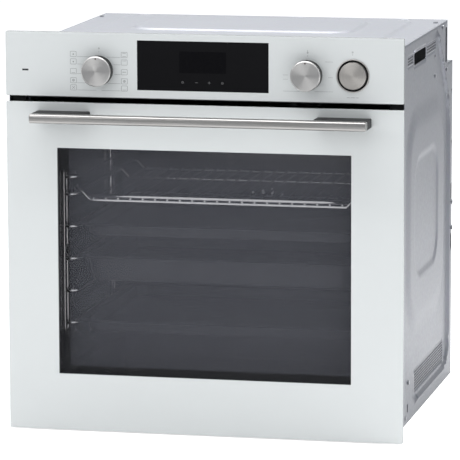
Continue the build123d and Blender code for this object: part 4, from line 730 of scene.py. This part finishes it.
def strokes(lines_drawn, width):
    """Printed lines on the front glass: one thin flat bar for each (x0, z0, x1, z1)."""
    line = np.asarray(lines_drawn, float)
    start, end = line[:, :2], line[:, 2:]
    along = (end - start) / np.linalg.norm(end - start, axis=1)[:, None]
    across = np.stack([-along[:, 1], along[:, 0]], axis=-1) * width / 2
    along = along * width / 4
    flat = np.stack([start - along - across, end + along - across, end + along + across,
                     start - along + across], axis=1)
    boxes = np.empty((len(line), 8, 3))
    boxes[:, :4, [0, 2]] = boxes[:, 4:, [0, 2]] = flat
    boxes[:, :4, 1], boxes[:, 4:, 1] = glass_y - INK, glass_y + INK / 4
    one = np.array([(0, 1, 2, 3), (7, 6, 5, 4), (0, 4, 5, 1), (1, 5, 6, 2), (2, 6, 7, 3), (3, 7, 4, 0)])
    faces = (one[None] + 8 * np.arange(len(line))[:, None, None]).reshape(-1, 4)
    return boxes.reshape(-1, 3), faces


def circle_lines(x, z, radius, count=14):
    """Short lines round a circle, for strokes."""
    angle = np.arange(count + 1) / count * tau
    px, pz = x + radius * np.cos(angle), z + radius * np.sin(angle)
    return np.stack([px[:-1], pz[:-1], px[1:], pz[1:]], axis=-1).tolist()


TOUCH_LINE, TOUCH_Z, TOUCH_R, PLUS_HALF, MINUS_HALF = 0.0005, 0.5262, 0.0015, 0.0018, 0.00175
CLOCK_X, MINUS_X, PLUS_X, TICK_X = -0.03, -0.00925, 0.00975, 0.0294
touch = [*circle_lines(CLOCK_X, TOUCH_Z, TOUCH_R), *circle_lines(TICK_X, TOUCH_Z, TOUCH_R)]
touch += [(x + x0, TOUCH_Z + z0, x + x1, TOUCH_Z + z1) for x, x0, z0, x1, z1 in (
    (MINUS_X, -MINUS_HALF, 0, MINUS_HALF, 0), (PLUS_X, -MINUS_HALF, 0, MINUS_HALF, 0),
    (PLUS_X, 0, -PLUS_HALF, 0, PLUS_HALF), (CLOCK_X, 0, 0, 0, 0.0013), (CLOCK_X, 0, 0, 0.0011, 0),
    (TICK_X, -0.0008, 0, -0.0002, -0.0007), (TICK_X, -0.0002, -0.0007, 0.0009, 0.0008))]
touch_ink = finish("touch_ink", (0.15, 0.15, 0.155), (0.19, 0.19, 0.195), grain=900.0, rough=(0.5, 0.6))
piece("touch_symbols", strokes(touch, TOUCH_LINE), touch_ink, "housing")

# The function symbols beside the knobs are fired onto the glass in pale grey: small frames with
# plain marks for the heating modes, and thin lines that lead from each to the knob.
knob_low, knob_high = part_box("function_knob")
knob_z, knob_r = (knob_low.z + knob_high.z) / 2, (knob_high.x - knob_low.x) / 2
left_knob_x, right_knob_x = (sum(corner.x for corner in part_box(name)) / 2
                             for name in ("function_knob", "temperature_knob"))
ROWS = [0.5645, 0.5535, 0.5392, 0.5258, 0.5152]
ICON_OUT, ICON_HALF, ICON_CORNER = 0.0385, (0.0045, 0.0039), 0.0009
LEADER_DROP, LEADER_GAP, LEADER_END, LEADER_PAST = 0.0036, 0.0058, 0.004, 0.002
DOT_RINGS, DOT_DROP = ((0.0008, 8), (0.0004, 6)), 0.0003  # radius and number of strokes
BAR_HALF, BAR_OUT, FAN_R, BLADE, CROSS_HALF = 0.0026, 0.0022, 0.0017, 0.0012, 0.0018
WAVE_STEP, WAVE_RISE = 0.0009, 0.0007
MARK_LINE, LEADER_LINE = 0.0005, 0.0004


def mode_mark(x, z, kind):
    """Strokes of one heating mode: a frame with a dot, bars, a fan, a cross or a wave in it."""
    icon = outline(*ICON_HALF, ICON_CORNER, steps=2) + (x, z)
    drawn = np.concatenate([icon, np.roll(icon, -1, axis=0)], axis=1).tolist()
    if kind == "dot":
        for radius, count in DOT_RINGS:
            drawn += circle_lines(x, z - DOT_DROP, radius, count)
    for bar, out in (("top", BAR_OUT), ("low", -BAR_OUT)):
        if kind in (bar, "both"):
            drawn += [(x - BAR_HALF, z + out, x + BAR_HALF, z + out)]
    if kind == "fan":
        drawn += circle_lines(x, z, FAN_R, 10)
        drawn += [(x - BLADE, z, x + BLADE, z), (x, z - BLADE, x, z + BLADE)]
    if kind == "cross":
        drawn += [(x - CROSS_HALF, z - rise, x + CROSS_HALF, z + rise)
                  for rise in (CROSS_HALF, -CROSS_HALF)]
    if kind == "wave":
        wave = [(x + WAVE_STEP * a, z + WAVE_RISE * (-1) ** a) for a in range(-3, 4)]
        drawn += [(*first, *last) for first, last in zip(wave, wave[1:])]
    return drawn


icons, leaders = [], []
for side, kinds in ((-1, ("dot", "dot", "low", "fan", "cross")),
                    (1, ("both", "top", "wave", "fan", "low"))):
    icon_x = left_knob_x + side * ICON_OUT
    for z, kind in zip(ROWS, kinds):
        icons += mode_mark(icon_x, z, kind)
        line_z = z - LEADER_DROP
        off = abs(line_z - knob_z)
        reach = np.sqrt(knob_r ** 2 - off ** 2) + LEADER_PAST if off < knob_r else LEADER_END
        leaders.append((icon_x - side * LEADER_GAP, line_z, left_knob_x + side * reach, line_z))

# Round the knobs stand the marks of their scales: small rings, ticks and rows of dashes.
mark_x, timer_mark_x = left_knob_x + 0.0004, 0.2221
for x, z, radius in ((mark_x, 0.5735, 0.0009), (right_knob_x, 0.5735, 0.0009),
                     (timer_mark_x, 0.5755, 0.001)):
    icons += circle_lines(x, z, radius, 8)
icons += [(x, z0, x, z1) for x, z0, z1 in (
    (mark_x, 0.568, 0.5695), (right_knob_x, 0.5745, 0.5773), (right_knob_x, 0.5682, 0.5698),
    (timer_mark_x, 0.5711, 0.5727))]
DASHES = ((-0.003, -0.0012), (-0.0002, 0.0014), (0.0022, 0.0032))
for x, z in ((0.123, 0.5406), (0.123, 0.5344), (0.1231, 0.5171), (0.1896, 0.5608), (0.1895, 0.538),
             (0.19, 0.5174)):
    icons += [(x + x0, z, x + x1, z) for x0, x1 in DASHES]
icons += [(x0, 0.5096, x1, 0.5096) for x0, x1 in ((0.2138, 0.218), (0.219, 0.2262), (0.2272, 0.231))]
leaders += [(right_knob_x + x0, z, right_knob_x + x1, z) for x0, x1, z in (
    (-0.03, -0.012, 0.5171), (0.01, 0.03, 0.5174), (0.0255, 0.03, 0.5608))]
panel_ink = finish("panel_ink", (0.29, 0.3, 0.305), (0.34, 0.35, 0.355), grain=900.0, rough=(0.4, 0.5))
piece("mode_symbols", strokes(icons, MARK_LINE), panel_ink, "housing")
piece("leader_lines", strokes(leaders, LEADER_LINE), panel_ink, "housing")
dress(finish("indicator_plastic", (0.03, 0.03, 0.033), (0.045, 0.045, 0.048), grain=600.0,
             rough=(0.2, 0.3)), "indicator_lens")


# ------------------------ knobs
# The two selector knobs are turned from aluminium, their faces spun with fine rings that catch the
# light in wedges, with a bevelled bright edge, a near-black side and a red pointer dot.
def turned(profile, x, z, count=96, closed=False):
    """A body of revolution on an axis along Y: circles of each (radius, y), one after another."""
    angle = np.arange(count) * tau / count
    radius, y = np.asarray(profile, float).T
    points = np.empty((len(profile), count, 3))
    points[..., 0] = x + radius[:, None] * np.cos(angle)
    points[..., 1] = y[:, None]
    points[..., 2] = z + radius[:, None] * np.sin(angle)
    return points.reshape(-1, 3), cells(len(profile), count, closed, round_columns=True)


def spun(name, colour, grain_colour, rings=1500.0, anisotropic=0.96, rough=(0.5, 0.58)):
    """Spun metal: rings round the piece's centre in its colour and roughness, and a highlight stretched
    across them.
    """
    material = finish(name, colour, grain_colour, grain=rings, rough=rough, metallic=1.0,
                      anisotropic=anisotropic, anisotropic_rotation=0.25)
    tree = material.node_tree
    turning = node(tree, "UVMap", uv_map="turning")
    apart, only_radius = node(tree, "SeparateXYZ"), node(tree, "CombineXYZ")
    tree.links.new(turning.outputs["UV"], apart.inputs["Vector"])
    tree.links.new(apart.outputs["Y"], only_radius.inputs["X"])
    for texture in [made for made in tree.nodes if made.type == "TEX_NOISE"]:
        texture.inputs["Scale"].default_value = rings
        tree.links.new(only_radius.outputs["Vector"], texture.inputs["Vector"])
    tangent = node(tree, "Tangent", direction_type="UV_MAP", uv_map="turning")
    tree.links.new(tangent.outputs["Tangent"], tree.nodes["Principled BSDF"].inputs["Tangent"])
    return material


def turning_map(made, x, z):
    """A UV map of a turned piece: U is the share of a turn and V the distance from the axis."""
    mesh = made.data
    place = np.empty(len(mesh.vertices) * 3)
    corner, sides = np.empty(len(mesh.loops), int), np.empty(len(mesh.polygons), int)
    mesh.vertices.foreach_get("co", place)
    mesh.loops.foreach_get("vertex_index", corner)
    mesh.polygons.foreach_get("loop_total", sides)
    place = place.reshape(-1, 3)[corner]
    radius = np.hypot(place[:, 0] - x, place[:, 2] - z)
    share = np.arctan2(place[:, 2] - z, place[:, 0] - x) / tau
    owner = np.repeat(np.arange(len(sides)), sides)
    highest = np.full(len(sides), -1.0)
    np.maximum.at(highest, owner, np.where(radius > MERGE, share, -1.0))
    share = np.where(highest[owner] - share > 0.5, share + 1, share)
    share = np.where(radius > MERGE, share, highest[owner])
    uv = mesh.uv_layers.new(name="turning")
    uv.data.foreach_set("uv", np.stack([share, radius], axis=-1).ravel())


face_metal = spun("spun_aluminium", (0.54, 0.535, 0.53), (0.7, 0.69, 0.68))
edge_metal = finish("bevel_aluminium", (0.6, 0.59, 0.58), (0.68, 0.67, 0.66), grain=60.0,
                    rough=(0.42, 0.5), metallic=1.0)
side_metal = finish("near_black_side", (0.004, 0.004, 0.004), (0.007, 0.007, 0.007), grain=8.0,
                    stretch=(1, 400, 1), rough=(0.28, 0.4), specular_ior_level=0.12)
dot_red = finish("pointer_red", (0.03, 0.004, 0.004), (0.045, 0.006, 0.005), grain=500.0,
                 rough=(0.3, 0.4))
face_y, skirt_y = knob_low.y, glass_y - 0.0005
BEVEL, SKIRT, FACE_BACK, STEM_R, STEM_Y = 0.0016, 0.0018, 0.001, 0.003, 0.0015
DOT_R, DOT_IN = 0.0012, 0.0036
rim, neck, side_r, skirt_in_r = knob_r - BEVEL, face_y + SKIRT, knob_r - 0.0002, knob_r - 0.0012
back = face_y + FACE_BACK
face = [(0, face_y + 0.0004), (0.004, face_y + 0.00035), (rim - 0.0006, face_y + 0.00005),
        (rim, face_y), (rim, back), (0, back)]
bevel = [(rim, back), (rim, face_y), (rim + 0.0003, face_y + 0.0001),
         (knob_r - 0.0001, face_y + BEVEL - 0.0003), (knob_r, face_y + BEVEL), (knob_r, neck),
         (rim, neck)]
body = [(0, neck), (side_r, neck), (side_r, skirt_y - 0.0026), (skirt_in_r, skirt_y - 0.0024),
        (skirt_in_r, skirt_y), (STEM_R, skirt_y), (STEM_R, STEM_Y), (0, STEM_Y)]
dot = [(0, face_y - 0.00005), (DOT_R - 0.0001, face_y - 0.00005), (DOT_R, face_y + 0.0003),
       (0, face_y + 0.0003)]
for name, x in (("function_knob", left_knob_x), ("temperature_knob", right_knob_x)):
    made = piece(name + "_face", turned(face, x, knob_z), face_metal, name, crease=30,
                 replaces=[name])
    turning_map(made, x, knob_z)
    piece(name + "_bevel", turned(bevel, x, knob_z), edge_metal, name, crease=25)
    piece(name + "_body", turned(body, x, knob_z), side_metal, name, crease=30)
    piece(name + "_dot", turned(dot, x, knob_z + knob_r - DOT_IN, count=20), dot_red, name)

# The timer knob is pushed in: only its spun cap shows in a black moulded cup, and a thin polished
# ring finishes the cut-out in the glass.
timer_low, timer_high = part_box("timer_knob")
cup_low, cup_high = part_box("timer_bezel")
timer_x = (cup_low.x + cup_high.x) / 2
timer_r, cup_r = (timer_high.x - timer_low.x) / 2, (cup_high.x - cup_low.x) / 2
cap_metal = spun("timer_aluminium", (0.43, 0.41, 0.39), (0.55, 0.53, 0.505), rings=1100.0,
                 anisotropic=0.7)
CAP_DEPTH, CAP_GAP = 0.022, 0.0004
cap_r, cap_y = timer_r - CAP_GAP, timer_low.y
cap = [(0, cap_y + 0.0002), (cap_r - 0.001, cap_y), (cap_r - 0.0002, cap_y + 0.0004),
       (cap_r, cap_y + 0.001), (cap_r, cap_y + CAP_DEPTH), (STEM_R, cap_y + CAP_DEPTH),
       (STEM_R, timer_high.y), (0, timer_high.y)]
made = piece("timer_cap", turned(cap, timer_x, knob_z), cap_metal, "timer_knob",
             replaces=["timer_knob"])
turning_map(made, timer_x, knob_z)
dress(finish("moulded_black", (0.004, 0.004, 0.0045), (0.006, 0.006, 0.0065), grain=60.0,
             rough=(0.25, 0.38), relief=0.00001, relief_grain=1500.0, specular_ior_level=0.12),
      "timer_bezel", "timer_sleeve")
RING_IN, RING_OUT, RING_RISE = 0.0228, cup_r + 0.0005, 0.0011
ring_y = cup_low.y - RING_RISE
ring = [(RING_IN, cup_low.y + 0.0003), (RING_IN, cup_low.y - 0.0001), (RING_OUT - 0.0004, ring_y),
        (RING_OUT, ring_y + 0.0002), (RING_OUT, glass_y + 0.0001), (cup_r - 0.0005, glass_y + 0.0001)]
piece("timer_ring", turned(ring, timer_x, knob_z, closed=True), edge_metal, "housing",
      crease=50)


# ------------------------ door trims
# Matt black moulded strips close the upper and lower edge of the door between its panes.
dress(finish("trim_black", (0.0012, 0.0012, 0.0014), (0.002, 0.002, 0.0022), grain=60.0,
             rough=(0.5, 0.65), relief=0.00001, relief_grain=1200.0, specular_ior_level=0.03),
      "door_trims")


# ------------------------ door glass
# The outer pane is glass with white enamel fired on its back, left clear for the window. The edges
# are ground to a small bevel.
door_low, door_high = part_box("door_outer_glass")
DOOR_CORNER, GROUND, COVER = 0.0015, 0.0005, 0.00005
WINDOW, WINDOW_CORNER = (-0.2205, 0.2205, 0.0867, 0.4251), 0.0006
door_window = (door_low.x, door_high.x, door_low.z, door_high.z)
door_edge = plate(door_window, DOOR_CORNER)
window_edge = plate(WINDOW, WINDOW_CORNER)
rings = [placed(door_edge, 1, door_high.y), placed(door_edge, 1, door_low.y + GROUND),
         placed(plate(grown(door_window, -GROUND), DOOR_CORNER - GROUND), 1, door_low.y),
         placed(window_edge, 1, door_low.y), placed(window_edge, 1, door_high.y)]
# The white pane's edges are painted a mid grey, partly ground glass and partly the shade along the
# door's sides.
piece("door_white_glass", loft(rings, round_rows=True),
      enamelled_glass("door_glass", (0.42, 0.45, 0.45)), "door", crease=25,
      replaces=["door_outer_glass"])
window_glass = see_through("window_glass", (0.055, 0.055, 0.062), (0.065, 0.065, 0.072), 0.12,
                           specular_ior_level=0.12)
piece("door_window", prism(window_edge, door_low.y + COVER, door_high.y - COVER, 1), window_glass,
      "door")

# Middle and inner panes are plain float glass in the door columns. The inner one has a faint grey
# heat-reflecting coating that stops short of its edges, thin as a film.
dress(see_through("pane_glass", (0.02, 0.022, 0.022), (0.03, 0.032, 0.032), 0.05,
                  specular_ior_level=0.12), "door_middle_glass", "door_inner_glass")
inner_low, inner_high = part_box("door_inner_glass")
coating_film = see_through("heat_coating", (0.5, 0.525, 0.64), (0.54, 0.565, 0.68), 0.125,
                           rough=(0.5, 0.6), specular_ior_level=0.1)
COATED, COATED_CORNER, FILM_GAP = (-0.2135, 0.2135, 0.0915, inner_high.z - 0.006), 0.001, 0.0002
film = placed(plate(COATED, COATED_CORNER), 1, inner_low.y - FILM_GAP)
piece("pane_coating", (film, [tuple(range(len(film)))]), coating_film, "door")

# ------------------------ handle
# The handle is a drawn aluminium bar, brushed along its length, with softened ends. Two cast
# brackets in dark grey hold it off the glass, screwed through the door.
bar_metal = finish("brushed_bar", (0.34, 0.33, 0.32), (0.47, 0.46, 0.45), grain=28.0,
                   stretch=(0.35, 28, 28), rough=(0.26, 0.34), relief=0.000004, relief_grain=160.0,
                   metallic=1.0, anisotropic=0.4)
BAR_CORNER, BAR_END, END_SHRINK = 0.0042, 0.0016, 0.8


def soft_bar(low, high, corner, end):
    """A bar along X that fills a box; over its ends a quarter circle of insets shrinks the outline."""
    angle = np.linspace(0, pi / 2, 5)
    rings = []
    for inset, shift in zip(end * (1 - np.sin(angle)), end * (1 - np.cos(angle))):
        section = grown((low.y, high.y, low.z, high.z), -inset)
        rings.append(placed(plate(section, corner - inset * END_SHRINK, steps=8), 0, low.x + shift))
    rings.insert(0, np.tile(rings[0].mean(axis=0), (len(rings[0]), 1)))
    return loft([*rings, *[ring * (-1, 1, 1) + (low.x + high.x, 0, 0) for ring in rings[::-1]]])


piece("brushed_handle", soft_bar(*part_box("handle_bar"), BAR_CORNER, BAR_END), bar_metal, "door",
      crease=40, replaces=["handle_bar"])
dress(finish("bracket_grey", (0.02, 0.02, 0.021), (0.028, 0.028, 0.029), grain=80.0,
             rough=(0.42, 0.55), relief=0.00004, relief_grain=1200.0, specular_ior_level=0.2),
      "handle_brackets")

# ------------------------ size
low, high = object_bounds()
